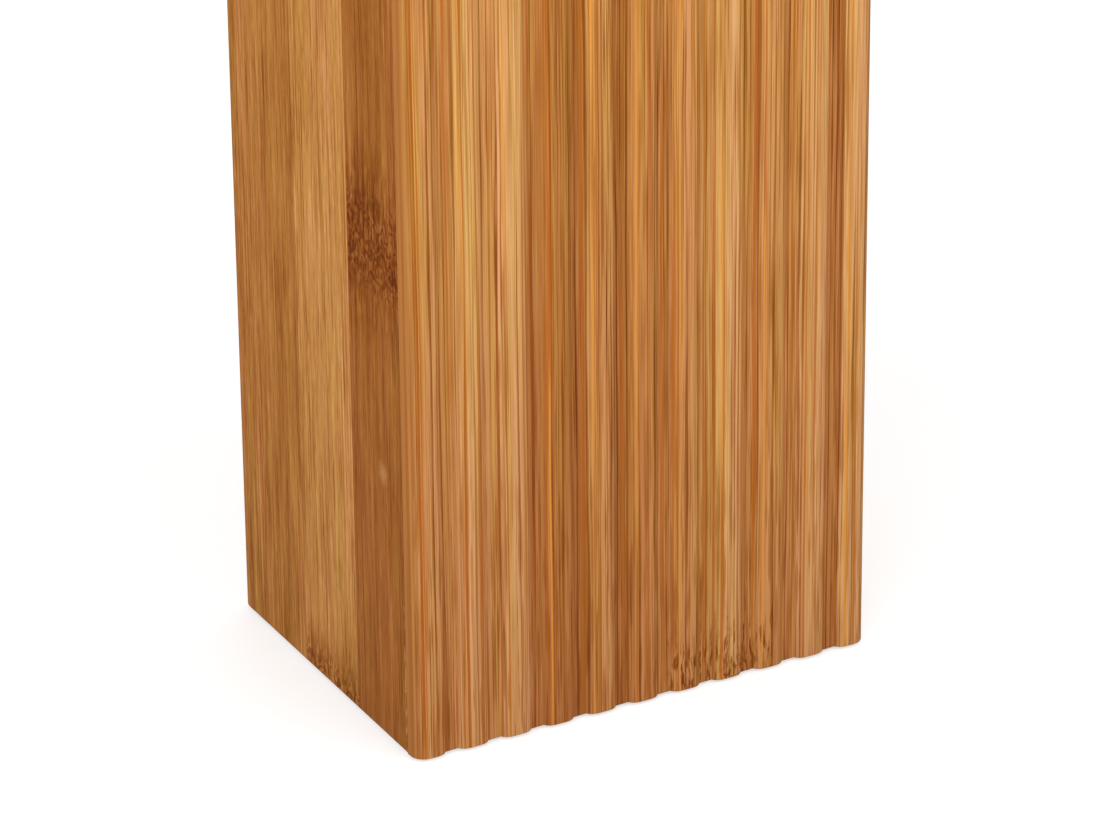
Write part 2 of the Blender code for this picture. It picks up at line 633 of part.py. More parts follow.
def build_housing():
    """The cylinder, its foot valve and the parts that stay still in it."""
    plastic = new_material("pump_plastic", (232, 232, 228), 0.4)
    profile = [
        (NECK_RADIUS, FLANGE_TOP),
        (NECK_RADIUS, FLANGE_BOTTOM),
        (HOUSING_RADIUS, FLANGE_BOTTOM),
        (HOUSING_RADIUS, CHAMBER_FLOOR),
        (TAIL_RADIUS, CHAMBER_FLOOR - (HOUSING_RADIUS - TAIL_RADIUS)),
        (TAIL_RADIUS, TAIL_BOTTOM),
        (TAIL_SOCKET_RADIUS, TAIL_BOTTOM),
        (TAIL_SOCKET_RADIUS, TAIL_SOCKET_TOP),
        (ORIFICE_RADIUS, TAIL_SOCKET_TOP),
        (ORIFICE_RADIUS, CONE_BOTTOM),
        (POCKET_RADIUS, CONE_TOP),
        (POCKET_RADIUS, LIP_BOTTOM - (POCKET_RADIUS - LIP_RADIUS)),
        (LIP_RADIUS, LIP_BOTTOM),
        (LIP_RADIUS, CHAMBER_FLOOR),
        (HOUSING_BORE_RADIUS, CHAMBER_FLOOR),
        (HOUSING_BORE_RADIUS, FLANGE_TOP),
    ]
    even_shading(turned("pump_housing", profile, plastic, FLANGE_BOTTOM, pump))

    profile = arc((CAP_RADIUS - CAP_EDGE_RADIUS, CAP_TOP - CAP_EDGE_RADIUS), CAP_EDGE_RADIUS, 90, 0)
    profile += [
        (CAP_RADIUS, FLANGE_TOP + SEAT_GAP),
        (CAP_SKIRT_RADIUS, FLANGE_TOP + SEAT_GAP),
        (CAP_SKIRT_RADIUS, CAP_SKIRT_BOTTOM),
        (CAP_BORE_RADIUS, CAP_SKIRT_BOTTOM),
        (CAP_BORE_RADIUS, CAP_TOP),
    ]
    even_shading(turned("housing_cap", profile, plastic, FLANGE_TOP, pump))

    rubber = new_material("gasket_rubber", (60, 60, 62), 0.8)
    gasket_top = GASKET_BOTTOM + GASKET_THICKNESS
    gasket_bore = HOUSING_RADIUS + GUIDE_CLEARANCE
    profile = [
        (NECK_RADIUS, gasket_top),
        (NECK_RADIUS, GASKET_BOTTOM),
        (gasket_bore, GASKET_BOTTOM),
        (gasket_bore, gasket_top),
    ]
    even_shading(turned("neck_gasket", profile, rubber, GASKET_BOTTOM, pump))

    steel = new_material("ball_steel", (200, 200, 200), 0.15, 1.0)
    ball = ball_mesh("inlet_ball", BALL_RADIUS)
    new_object("inlet_ball", ball, steel, (0.0, 0.0, BALL_CENTRE), pump)


def build_dip_tube():
    plastic = new_material("tube_plastic", (222, 224, 220), 0.35)
    top = TAIL_SOCKET_TOP - SEAT_GAP
    bottom = BOTTLE_BOTTOM + BOTTLE_WALL + DIP_TUBE_FLOOR_GAP
    bore = DIP_TUBE_RADIUS - DIP_TUBE_WALL
    profile = [(DIP_TUBE_RADIUS, top), (DIP_TUBE_RADIUS, bottom), (bore, bottom), (bore, top)]
    tube = turned("dip_tube", profile, plastic, top, pump, FINE_STEPS)
    side = 6 * DIP_TUBE_RADIUS
    slab = box_mesh("tube_foot_cutter", (side, side, side))
    # The slab's top face slants up towards -Y from the tube's lowest point on its +Y side
    middle = Vector((0.0, DIP_TUBE_RADIUS, bottom))
    middle += Vector((0.0, -math.sin(DIP_TUBE_SLANT), -math.cos(DIP_TUBE_SLANT))) * side / 2
    cut(tube, cutter("tube_foot_cutter", slab, middle, (-DIP_TUBE_SLANT, 0.0, 0.0)))
    even_shading(tube)


def build_spring():
    steel = new_material("spring_steel", (190, 190, 192), 0.25, 1.0)
    points = spring_points()
    curve = curve_along("pump_spring", points, SPRING_WIRE_RADIUS, WIRE_ROUNDING)
    new_object("pump_spring", curve, steel, (0.0, 0.0, SPRING_BOTTOM), pump)
    print(f"pump_spring: least gap to itself {least_gap(points, SPRING_WIRE_RADIUS) * 1000:.2f} mm")


def build_collar():
    plastic = new_material("nut_plastic", (235, 235, 232), 0.45)
    profile = [
        (COLLAR_HOLE_RADIUS, NUT_TOP),
        (NUT_RADIUS - COLLAR_INNER_EDGE, NUT_TOP),
        (NUT_RADIUS, NUT_TOP - COLLAR_INNER_EDGE),
        (NUT_RADIUS, COLLAR_BOTTOM),
        (NUT_BORE_RADIUS, COLLAR_BOTTOM),
        (NUT_BORE_RADIUS, NUT_CEILING),
        (COLLAR_HOLE_RADIUS, NUT_CEILING),
    ]
    even_shading(turned("collar_nut", profile, plastic, COLLAR_BOTTOM, collar, COLLAR_STEPS))

    steel = new_material("satin_steel", (196, 196, 194), 0.3, 1.0)
    outer_centre = (COLLAR_RADIUS - COLLAR_EDGE_RADIUS, COVER_TOP - COLLAR_EDGE_RADIUS)
    inner_centre = (COVER_BORE_RADIUS - COLLAR_INNER_EDGE, COVER_TOP - COVER_WALL - COLLAR_INNER_EDGE)
    profile = [(COLLAR_HOLE_RADIUS, COVER_TOP)]
    profile += arc(outer_centre, COLLAR_EDGE_RADIUS, 90, 0)
    profile += [(COLLAR_RADIUS, COLLAR_BOTTOM), (COVER_BORE_RADIUS, COLLAR_BOTTOM)]
    profile += arc(inner_centre, COLLAR_INNER_EDGE, 0, 90)
    profile += [(COLLAR_HOLE_RADIUS, COVER_TOP - COVER_WALL)]
    even_shading(turned("collar_cover", profile, steel, COLLAR_BOTTOM, collar, COLLAR_STEPS))


def build_stem():
    plastic = new_material("stem_plastic", (230, 230, 226), 0.4)
    profile = [
        (STEM_RADIUS, STEM_TOP),
        (STEM_RADIUS, FOOT_TOP),
        (STEM_FOOT_RADIUS, FOOT_TOP),
        (STEM_FOOT_RADIUS, FOOT_BOTTOM),
        (STEM_RADIUS, FOOT_BOTTOM),
        (STEM_RADIUS, STEM_BOTTOM),
        (STEM_BORE_RADIUS, STEM_BOTTOM),
        (STEM_BORE_RADIUS, STEM_TOP),
    ]
    even_shading(turned("piston_stem", profile, plastic, FOOT_TOP, stem, FINE_STEPS))

    waist = SEAL_RADIUS - SEAL_WAIST_DEPTH
    bore = STEM_RADIUS + SEAT_GAP
    profile = [
        (SEAL_RADIUS, SEAL_TOP),
        (SEAL_RADIUS, SEAL_TOP - SEAL_LIP_LENGTH),
        (waist, SEAL_TOP - SEAL_LIP_LENGTH - SEAL_WAIST_DEPTH),
        (waist, SEAL_BOTTOM + SEAL_LIP_LENGTH + SEAL_WAIST_DEPTH),
        (SEAL_RADIUS, SEAL_BOTTOM + SEAL_LIP_LENGTH),
        (SEAL_RADIUS, SEAL_BOTTOM),
        (bore, SEAL_BOTTOM),
        (bore, SEAL_TOP),
    ]
    even_shading(turned("piston_seal", profile, plastic, SEAL_BOTTOM, stem))

    steel = bpy.data.materials["ball_steel"]
    ball = ball_mesh("outlet_ball", OUTLET_BALL_RADIUS)
    new_object("outlet_ball", ball, steel, (0.0, 0.0, OUTLET_BALL_CENTRE), stem)


def build_head():
    steel = bpy.data.materials["satin_steel"]
    plastic = bpy.data.materials["stem_plastic"]

    flat_radius = HEAD_RADIUS - HEAD_EDGE_RADIUS
    inner_radius = HEAD_RADIUS - HEAD_WALL
    profile = [(0.0, HEAD_TOP), (flat_radius / 2, HEAD_TOP - HEAD_CROWN / 4)]
    profile += arc((flat_radius, HEAD_RIM - HEAD_EDGE_RADIUS), HEAD_EDGE_RADIUS, 90, 0)
    profile += [(HEAD_RADIUS, HEAD_BOTTOM), (inner_radius, HEAD_BOTTOM)]
    profile += arc((inner_radius - HEAD_INNER_EDGE, HEAD_CEILING - HEAD_INNER_EDGE), HEAD_INNER_EDGE, 0, 90)
    profile += [(0.0, HEAD_CEILING)]
    cap = turned("head_cap", profile, steel, HEAD_BOTTOM, head, COLLAR_STEPS, ring=False)

    profile = [
        (0.0, CORE_TOP),
        (CORE_RADIUS - HEAD_INNER_EDGE, CORE_TOP),
        (CORE_RADIUS, CORE_TOP - HEAD_INNER_EDGE),
        (CORE_RADIUS, CORE_BOTTOM),
        (SLEEVE_SOCKET_RADIUS, CORE_BOTTOM),
        (SLEEVE_SOCKET_RADIUS, SLEEVE_SOCKET_TOP),
        (STEM_SOCKET_RADIUS, SLEEVE_SOCKET_TOP),
        (STEM_SOCKET_RADIUS, STEM_SOCKET_TOP),
        (OUTLET_POCKET_RADIUS, STEM_SOCKET_TOP),
        (OUTLET_POCKET_RADIUS, OUTLET_POCKET_TOP),
        (0.0, OUTLET_POCKET_TOP),
    ]
    core = turned("head_core", profile, plastic, CORE_BOTTOM, head, ring=False)

    level = (math.pi / 2, 0.0, 0.0)
    length = HEAD_RADIUS + CUTTER_REACH - SPOUT_SOCKET_START
    socket = cylinder_mesh("spout_socket_cutter", SPOUT_SOCKET_RADIUS, length)
    middle = (0.0, -(SPOUT_SOCKET_START + length / 2), SPOUT_LEVEL)
    spout_hole = cutter("spout_socket_cutter", socket, middle, level)
    cut(cap, spout_hole)
    cut(core, spout_hole)
    length = SPOUT_SOCKET_START + CUTTER_REACH
    channel = cylinder_mesh("outlet_channel_cutter", OUTLET_CHANNEL_RADIUS, length, FINE_STEPS)
    cut(core, cutter("outlet_channel_cutter", channel, (0.0, -length / 2, SPOUT_LEVEL), level))
    even_shading(cap)
    even_shading(core)

    profile = [
        (SLEEVE_RADIUS, SLEEVE_TOP),
        (SLEEVE_RADIUS, SLEEVE_BOTTOM),
        (SLEEVE_BORE_RADIUS, SLEEVE_BOTTOM),
        (SLEEVE_BORE_RADIUS, SLEEVE_TOP),
    ]
    even_shading(turned("stem_sleeve", profile, steel, SLEEVE_BOTTOM, head))


def build_spout():
    steel = bpy.data.materials["satin_steel"]
    start_y = -(SPOUT_SOCKET_START + SEAT_GAP)
    position = (0.0, 0.0, SPOUT_LEVEL)
    tube_path = spout_path(start_y, SPOUT_END_LENGTH)
    tube = mesh_along("spout_tube", tube_path, SPOUT_RADIUS, SPOUT_ROUNDING)
    spout = new_object("spout_tube", tube, steel, position, head)
    bore_path = spout_path(start_y + CUTTER_REACH, SPOUT_END_LENGTH + CUTTER_REACH)
    bore = mesh_along("spout_bore_cutter", bore_path, SPOUT_RADIUS - SPOUT_WALL, SPOUT_ROUNDING)
    cut(spout, cutter("spout_bore_cutter", bore, position))
    even_shading(spout)

    # The tip is turned about its own axis, with the spout's end face at its origin
    plug_radius = SPOUT_RADIUS - SPOUT_WALL - SEAT_GAP
    bore_radius = plug_radius - TIP_WALL
    profile = [
        (SPOUT_RADIUS, SEAT_GAP + TIP_RIM_LENGTH),
        (SPOUT_RADIUS, SEAT_GAP),
        (plug_radius, SEAT_GAP),
        (plug_radius, -SPOUT_END_LENGTH),
        (bore_radius, -SPOUT_END_LENGTH),
        (bore_radius, SEAT_GAP + TIP_RIM_LENGTH),
    ]
    tip_plastic = new_material("tip_plastic", (225, 225, 222), 0.4)
    tip = turned("spout_tip", profile, tip_plastic, 0.0, None, FINE_STEPS)
    even_shading(tip)
    tip.rotation_euler = spout_direction().to_track_quat("Z", "Y").to_euler()
    place(tip, Vector(position) + Vector(tube_path[-1]), head)


clear_scene()
pieces = new_collection("soap_dispenser")
cutters = new_collection("cutters")
case = new_empty("case_frame", 0.0)
pump = new_empty("pump_frame", MOUTH, case)
collar = new_empty("collar_frame", COLLAR_BOTTOM, pump)
stem = new_empty("stem_frame", FOOT_TOP, pump)
head = new_empty("head_frame", STEM_TOP, stem)
build_case()
build_bottle()
build_housing()
build_dip_tube()
build_spring()
build_collar()
build_stem()
build_head()
build_spout()
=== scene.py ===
import math

import bpy
from mathutils import Matrix, Vector


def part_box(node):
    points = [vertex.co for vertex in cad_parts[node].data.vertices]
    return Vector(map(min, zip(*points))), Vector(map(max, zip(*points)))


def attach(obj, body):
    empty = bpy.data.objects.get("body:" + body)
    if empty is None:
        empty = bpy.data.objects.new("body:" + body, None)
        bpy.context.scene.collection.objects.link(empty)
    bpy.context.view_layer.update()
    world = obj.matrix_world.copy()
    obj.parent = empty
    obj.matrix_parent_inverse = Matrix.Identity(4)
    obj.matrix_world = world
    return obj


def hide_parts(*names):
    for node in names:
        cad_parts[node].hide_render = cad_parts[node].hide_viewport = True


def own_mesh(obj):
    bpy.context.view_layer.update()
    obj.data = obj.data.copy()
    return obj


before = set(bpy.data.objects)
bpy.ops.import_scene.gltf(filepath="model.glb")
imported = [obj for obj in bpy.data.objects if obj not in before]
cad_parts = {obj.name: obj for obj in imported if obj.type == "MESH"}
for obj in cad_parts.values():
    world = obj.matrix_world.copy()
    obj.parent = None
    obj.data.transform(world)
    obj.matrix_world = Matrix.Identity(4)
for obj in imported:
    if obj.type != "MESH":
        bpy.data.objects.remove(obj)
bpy.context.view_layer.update()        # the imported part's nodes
mm = 0.001
tiny = 1e-6              # metres; places nearer than this count as one
print("frame loaded:", len(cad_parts), "nodes")


# Shader maths: a signal is a socket that Python's operators work on

class Signal:
    def __init__(self, finish, socket):
        self.finish = finish
        self.socket = socket

    def maths(self, operation, *values):
        return self.finish.node("Math", {"operation": operation}, dict(enumerate(values)))

    def __add__(self, other):
        return self.maths("ADD", self, other)

    def __radd__(self, other):
        return self.maths("ADD", other, self)

    def __sub__(self, other):
        return self.maths("SUBTRACT", self, other)

    def __rsub__(self, other):
        return self.maths("SUBTRACT", other, self)

    def __mul__(self, other):
        return self.maths("MULTIPLY", self, other)

    def __rmul__(self, other):
        return self.maths("MULTIPLY", other, self)

    def __truediv__(self, other):
        return self.maths("DIVIDE", self, other)

    def __pow__(self, other):
        return self.maths("POWER", self, other)

    def __mod__(self, other):
        return self.maths("FLOORED_MODULO", self, other)

    def __abs__(self):
        return self.maths("ABSOLUTE", self)


def shade(red, green, blue):       # a colour as a screen shows it, 0 to 255, made linear
    shares = [channel / 255 for channel in (red, green, blue)]
    return tuple(s / 12.92 if s <= 0.04045 else ((s + 0.055) / 1.055) ** 2.4 for s in shares) + (1.0,)

class Finish:
    # the nodes of one material or of the world, in millimetres, and the shader that they feed
    def __init__(self, owner, shader="Principled BSDF", **fixed):
        self.owner = bpy.data.materials.new(owner) if isinstance(owner, str) else owner
        self.owner.use_nodes = True
        self.tree = self.owner.node_tree
        self.shader = self.tree.nodes[shader]
        self.setShader(**fixed)

    def feed(self, made, sockets):
        for key, value in sockets.items():
            if isinstance(value, Signal):
                self.tree.links.new(value.socket, made.inputs[key])
            else:
                made.inputs[key].default_value = value


    def node(self, kind, settings=None, sockets=None, output=0):
        made = self.tree.nodes.new("ShaderNode" + kind)
        for key, value in (settings or {}).items():
            if key == "stops":
                for index, (place, colour) in enumerate(value):
                    stops = made.color_ramp.elements
                    stop = stops[index] if index < 2 else stops.new(place)
                    stop.position = place
                    stop.color = colour
            elif key == "blend":
                made.color_ramp.interpolation = value
            else:
                setattr(made, key, value)
        self.feed(made, sockets or {})
        return Signal(self, made.outputs[output])

    def axes(self):                 # the piece's own coordinates in millimetres
        place = self.node("TexCoord", output=3)
        scaled = self.node("VectorMath", {"operation": "SCALE"}, {0: place, "Scale": 1000.0})
        return self.split(scaled)

    def facing(self):               # the surface's direction on the piece's own axes
        return self.split(self.node("TexCoord", output=1))

    def ray(self, kind):            # 1 for light of this kind: Camera, Glossy, Transmission
        return self.node("LightPath", output=f"Is {kind} Ray")

    def split(self, vector):
        return [self.node("SeparateXYZ", None, {0: vector}, output) for output in range(3)]

    def point(self, x, y, z):
        return self.node("CombineXYZ", None, {0: x, 1: y, 2: z})

    def noise(self, x, y, z, detail=2.0, roughness=0.5):
        sockets = {"Vector": self.point(x, y, z), "Scale": 1.0, "Detail": detail, "Roughness": roughness}
        return self.node("TexNoise", None, sockets)

    def cells(self, x, y, z, feature="F1", output=0, randomness=1.0):
        sockets = {"Vector": self.point(x, y, z), "Scale": 1.0, "Randomness": randomness}
        return self.node("TexVoronoi", {"feature": feature}, sockets, output)

    def least(self, value, ceiling):
        return self.node("Math", {"operation": "MINIMUM"}, {0: value, 1: ceiling})

    def held(self, value):          # kept between 0 and 1
        return self.node("Math", {"operation": "MULTIPLY", "use_clamp": True}, {0: value, 1: 1.0})

    def strands(self, across, along, spacing, pace, seed):
        # crisp strands about spacing wide: the value of each, which drifts at pace per mm along it,
        # its place, and the distance from its middle
        sockets = {"W": across / spacing + seed, "Scale": 1.0, "Randomness": 1.0}
        distance = self.node("TexVoronoi", {"voronoi_dimensions": "1D"}, sockets)
        place = Signal(self, distance.socket.node.outputs["W"])
        return self.noise(place * 3.7, seed, along * pace, 1.0), place * spacing, distance * spacing

    def threads(self, across, along, spacing, width, cut, pace, seed, soft=0.07):
        # crisp lines along a board, each drawn out to points where its own value nears cut
        own, distance = self.strands(across, along, spacing, pace, seed)[::2]
        return self.held(((own - cut) * width - distance) / soft)

    def rise(self, value, start, end, low=0.0, high=1.0):       # a smooth step from start to end
        sockets = {"Value": value, "From Min": start, "From Max": end, "To Min": low, "To Max": high}
        return self.node("MapRange", {"interpolation_type": "SMOOTHSTEP"}, sockets)

    def near(self, value, centre, width, edge):     # 1 within width of a place, fading over edge
        return 1 - self.rise(abs(value - centre), width, width + edge)

    def ramp(self, value, stops, blend="LINEAR"):
        return self.node("ValToRGB", {"blend": blend, "stops": stops}, {0: value})

    def mix(self, share, first, second):
        return self.node("Mix", {"data_type": "RGBA"}, {0: share, 6: first, 7: second}, 2)

    def brighten(self, colour, factor):
        if not isinstance(colour, Signal):
            colour = colour[:3]
        return self.node("VectorMath", {"operation": "SCALE"}, {0: colour, "Scale": factor})

    def times(self, first, second):     # colours
        return self.node("VectorMath", {"operation": "MULTIPLY"}, {0: first, 1: second})

    def aged(self, colour, light, hue, tints):      # wood is redder and deeper where it is darker
        deep = self.times(colour, self.point(light ** 0.74, light ** 1.18, light ** 1.85))
        return self.times(deep, self.ramp(hue, tints))

    def setShader(self, **sockets):
        self.feed(self.shader, {key.replace("_", " "): value for key, value in sockets.items()})

    def surface(self, colour, roughness, height, depth):    # depth in metres for a height of 1
        bump = self.node("Bump", None, {"Height": height, "Distance": depth, "Strength": 1.0})
        self.setShader(Base_Color=colour, Roughness=roughness, Normal=bump)
        return self.owner


# Camera, lights and floor

photoView = {
    "azimuth": -28.28,      # degrees, from the front towards the left side
    "elevation": 25.93,
    "roll": 0.567,
    "distance": 0.9095,     # from the point that it looks at
    "aimHeight": 0.0359,    # of that point, on the pump's axis
    "lens": 198.4,          # mm, on a sensor as wide as the picture
    "sensor": 36.0,
}

studio = {
    "skyStrength": 0.42,
    "lamps": [              # watts, side of the square, place, aim
        (3.1, 0.60, (-0.46, -0.30, 0.38), (0.0, 0.0, 0.08)),
        (2.6, 0.60, (0.24, -0.56, 0.38), (0.0, 0.0, 0.08)),
        (1.9, 0.70, (0.40, 0.50, 0.36), (0.0, 0.0, 0.08)),
    ],
    "floorSize": 6.0,
    "floorShade": 0.55,
    "floorGlow": 0.56,      # added for the camera only, so that the floor is white to it
    "farGlow": 0.86,        # the same past the lamps' reach
    "glowReach": (0.45, 1.3),   # metres out, where the one turns into the other
}


def makeCamera():
    bpy.ops.object.camera_add()
    camera = bpy.context.object
    camera.name = "photoCamera"
    data = camera.data
    data.sensor_fit = "HORIZONTAL"
    data.sensor_width = photoView["sensor"]
    data.lens = photoView["lens"]
    data.clip_start = 0.01
    data.clip_end = 20.0
    around = math.radians(photoView["azimuth"])
    above = math.radians(photoView["elevation"])
    away = Vector((
        math.sin(around) * math.cos(above),
        -math.cos(around) * math.cos(above),
        math.sin(above),
    ))
    aim = Vector((0.0, 0.0, photoView["aimHeight"]))
    turn = (-away).to_track_quat("-Z", "Y").to_matrix().to_4x4()
    tilt = Matrix.Rotation(math.radians(-photoView["roll"]), 4, "Z")
    camera.matrix_world = Matrix.Translation(aim + away * photoView["distance"]) @ turn @ tilt
    bpy.context.scene.camera = camera

def makeStudio():
    world = bpy.data.worlds.new("studioWhite")
    bpy.context.scene.world = world
    sky = Finish(world, "Background", Color=(1.0, 1.0, 1.0, 1.0))
    seen = sky.held(sky.ray("Camera") + sky.ray("Glossy") + sky.ray("Transmission"))
    sky.setShader(Strength=studio["skyStrength"] + seen * (1 - studio["skyStrength"]))

    for power, side, place, aim in studio["lamps"]:
        turn = (Vector(aim) - Vector(place)).to_track_quat("-Z", "Y").to_euler()
        bpy.ops.object.light_add(type="AREA", location=place, rotation=turn)
        lamp = bpy.context.object
        lamp.name = "softbox"
        lamp.data.shape = "SQUARE"
        lamp.data.size = side
        lamp.data.energy = power

    bpy.ops.mesh.primitive_plane_add(size=studio["floorSize"], location=(0.0, 0.0, 0.0))
    floor = bpy.context.object
    floor.name = "studioFloor"

    paper = Finish("floorPaper")
    paper.tree.nodes.remove(paper.shader)
    middle = paper.node("TexCoord", output="Object")
    glowSockets = {
        "Value": paper.node("VectorMath", {"operation": "LENGTH"}, {0: middle}, "Value"),
        "From Min": studio["glowReach"][0],
        "From Max": studio["glowReach"][1],
        "To Min": studio["floorGlow"],
        "To Max": studio["farGlow"],
    }
    glow = paper.ray("Camera") * paper.node("MapRange", None, glowSockets)
    matte = paper.node("BsdfDiffuse", None, {"Color": (studio["floorShade"],) * 3 + (1.0,)})
    both = paper.node("AddShader", None, {0: matte, 1: paper.node("Emission", None, {"Strength": glow})})
    paper.feed(paper.tree.nodes["Material Output"], {"Surface": both})
    floor.data.materials.append(paper.owner)


makeCamera()
makeStudio()
bpy.context.scene.view_settings.view_transform = "Standard"
print("camera, light and floor made")


# Modelling helpers

upAxis = (0.0, 0.0, 0.0)            # turns for a new circle or cylinder: its axis stands up
alongY = (math.pi / 2, 0.0, 0.0)    # or lies along Y


def clearSelection():
    if bpy.context.object and bpy.context.object.mode == "EDIT":
        bpy.ops.object.mode_set(mode="OBJECT")
    bpy.ops.object.select_all(action="DESELECT")


def selectOnly(obj, *others):       # obj is the active one
    clearSelection()
    for piece in (obj, *others):
        piece.select_set(True)
    bpy.context.view_layer.objects.active = obj


def selectAll(kind="VERT"):         # of the active object's mesh
    bpy.ops.object.mode_set(mode="EDIT")
    bpy.ops.mesh.select_mode(type=kind)
    bpy.ops.mesh.select_all(action="SELECT")


def startPiece(name):       # what was just added, with its place in its mesh, in edit mode
    obj = bpy.context.object
    obj.name = name
    bpy.ops.object.transform_apply(location=True, rotation=True, scale=True)
    selectAll()
    return obj


def startBox(name, low, high):
    clearSelection()
    low, high = Vector(low), Vector(high)
    bpy.ops.mesh.primitive_cube_add(size=1.0, location=(low + high) / 2, scale=high - low)
    return startPiece(name)


def startCircle(name, sides, radius, place, turn=upAxis, flat=1.0, fill="NOTHING"):
    clearSelection()
    bpy.ops.mesh.primitive_circle_add(vertices=sides, radius=radius, location=place, rotation=turn,
                                      fill_type=fill)
    bpy.context.object.scale = (flat, 1.0, 1.0)
    return startPiece(name)


def selectBy(obj, kind, test):
    # kind is VERT, EDGE or FACE; test gets an element's middle, and an edge's run or a face's normal
    selectAll(kind)
    bpy.ops.mesh.select_all(action="DESELECT")
    bpy.ops.object.mode_set(mode="OBJECT")
    mesh = obj.data
    if kind == "FACE":
        for face in mesh.polygons:
            face.select = test(face.center, face.normal)
    elif kind == "EDGE":
        for edge in mesh.edges:
            first, second = (mesh.vertices[index].co for index in edge.vertices)
            edge.select = test((first + second) / 2, second - first)
    else:
        for vertex in mesh.vertices:
            vertex.select = test(vertex.co)
    bpy.ops.object.mode_set(mode="EDIT")


def isUpright(along):       # tests for an edge's direction, and for its height in a box
    return abs(along.z) > 0.001


def isLevel(along):
    return abs(along.z) < tiny


def atEnds(at, low, high):
    return min(at.z - low.z, high.z - at.z) < tiny


def roundEdges(obj, radius, segments, test):        # radius in mm
    selectBy(obj, "EDGE", test)
    bpy.ops.mesh.bevel(offset=radius * mm, segments=segments, profile=0.5)


def drawOut(way):           # extrudes what is selected, in metres
    bpy.ops.mesh.extrude_region_move(TRANSFORM_OT_translate={"value": way})


def applyModifier(obj, kind, **settings):
    selectOnly(obj)
    bpy.ops.object.modifier_add(type=kind)
    modifier = obj.modifiers[-1]
    for key, value in settings.items():
        setattr(modifier, key, value)
    bpy.ops.object.modifier_apply(modifier=modifier.name)


def thicken(obj, wall):     # gives a skin a wall of so many mm, inwards
    applyModifier(obj, "SOLIDIFY", thickness=wall * mm, offset=-1.0, use_even_offset=True)


def easeEdges(obj, width, angle=50):        # bevels what turns by more than the angle; width in mm
    applyModifier(obj, "BEVEL", width=width * mm, segments=2, limit_method="ANGLE",
                  angle_limit=math.radians(angle))


def drillHole(obj, sides, radius, depth, place, turn=upAxis):
    clearSelection()
    bpy.ops.mesh.primitive_cylinder_add(vertices=sides, radius=radius, depth=depth, location=place,
                                        rotation=turn)
    drill = bpy.context.object
    applyModifier(obj, "BOOLEAN", object=drill, operation="DIFFERENCE", solver="EXACT")
    bpy.data.objects.remove(drill)


def tidyMesh(obj):
    # joins doubled points, then turns every face outwards
    selectOnly(obj)
    selectAll()
    bpy.ops.mesh.remove_doubles(threshold=tiny)
    bpy.ops.mesh.normals_make_consistent(inside=False)
    bpy.ops.object.mode_set(mode="OBJECT")


def arc(middle, radius, start, end, steps=6):       # points round a middle, angles in degrees
    points = []
    for step in range(steps + 1):
        angle = math.radians(start + (end - start) * step / steps)
        points.append((middle[0] + radius * math.cos(angle), middle[1] + radius * math.sin(angle)))
    return points


def turnPiece(name, outline, steps=96, ring=True, edge=0.12):
    # a circle drawn along an outline of (radius, height) in mm, as on a lathe. A ring closes on
    # itself; otherwise the outline starts at a flat end and stops at a pole on the axis
    radius, height = outline[0]
    obj = startCircle(name, steps, radius * mm, (0.0, 0.0, height * mm))
    if not ring:
        bpy.ops.mesh.edge_face_add()
    for nextRadius, nextHeight in outline[1:] + (outline[:1] if ring else []):
        drawOut((0.0, 0.0, (nextHeight - height) * mm))
        if nextRadius > 0:
            scale = nextRadius / radius
            bpy.ops.transform.resize(value=(scale, scale, 1.0), center_override=(0.0, 0.0, nextHeight * mm))
        else:
            bpy.ops.mesh.merge(type="CENTER")
        radius, height = nextRadius, nextHeight
    tidyMesh(obj)
    if edge:
        easeEdges(obj, edge)
    return obj


def windPiece(name, radius, wire, start, rises, steps, flat=1.0):
    # a round wire, or a ridge where flat is under 1, drawn along a coil of so many steps a turn, from
    # its lower end at start; rises are per step, in mm
    place = (radius * mm, 0.0, start * mm)
    obj = startCircle(name, wire["sides"], wire["radius"] * mm, place, alongY, flat, "NGON")
    selectAll("FACE")
    for rise in rises:
        drawOut((0.0, 0.0, rise * mm))
        bpy.ops.transform.rotate(value=-2 * math.pi / steps, orient_axis="Z", center_override=(0.0, 0.0, 0.0))
    tidyMesh(obj)
    return obj


def pick(piece, names):     # several of a piece's values
    return [piece[name] for name in names.split()]


def spanOf(node):           # a turned node's radius, foot and top, in mm
    low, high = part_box(node)
    return high.x / mm, low.z / mm, high.z / mm


def finishPiece(obj, body, slot, node, material=None, angle=40):
    # smooth shading up to an angle, the slot's finish or its own, and the calls that tie it to the frame
    selectOnly(obj)
    bpy.ops.object.shade_smooth_by_angle(angle=math.radians(angle))
    obj.data.materials.clear()
    obj.data.materials.append(material or finishes[slot])
    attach(obj, body)
    if node:
        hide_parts(node)


# Bamboo

tones = {
    "tan": shade(197, 140, 82),
    "honey": shade(187, 126, 68),
    "amber": shade(180, 117, 60),
    "brown": shade(170, 106, 52),
    "dark": shade(158, 95, 42),
    "orange": shade(210, 138, 56),
    "footLineBrown": shade(182, 100, 32),
    "edge": shade(180, 118, 62),
    "rust": shade(172, 92, 24),
    "fibre": shade(118, 62, 18),
    "streak": shade(144, 84, 34),
    "pale": shade(224, 172, 110),
    "glue": shade(120, 72, 36),
    "endGrain": shade(176, 118, 66),
}

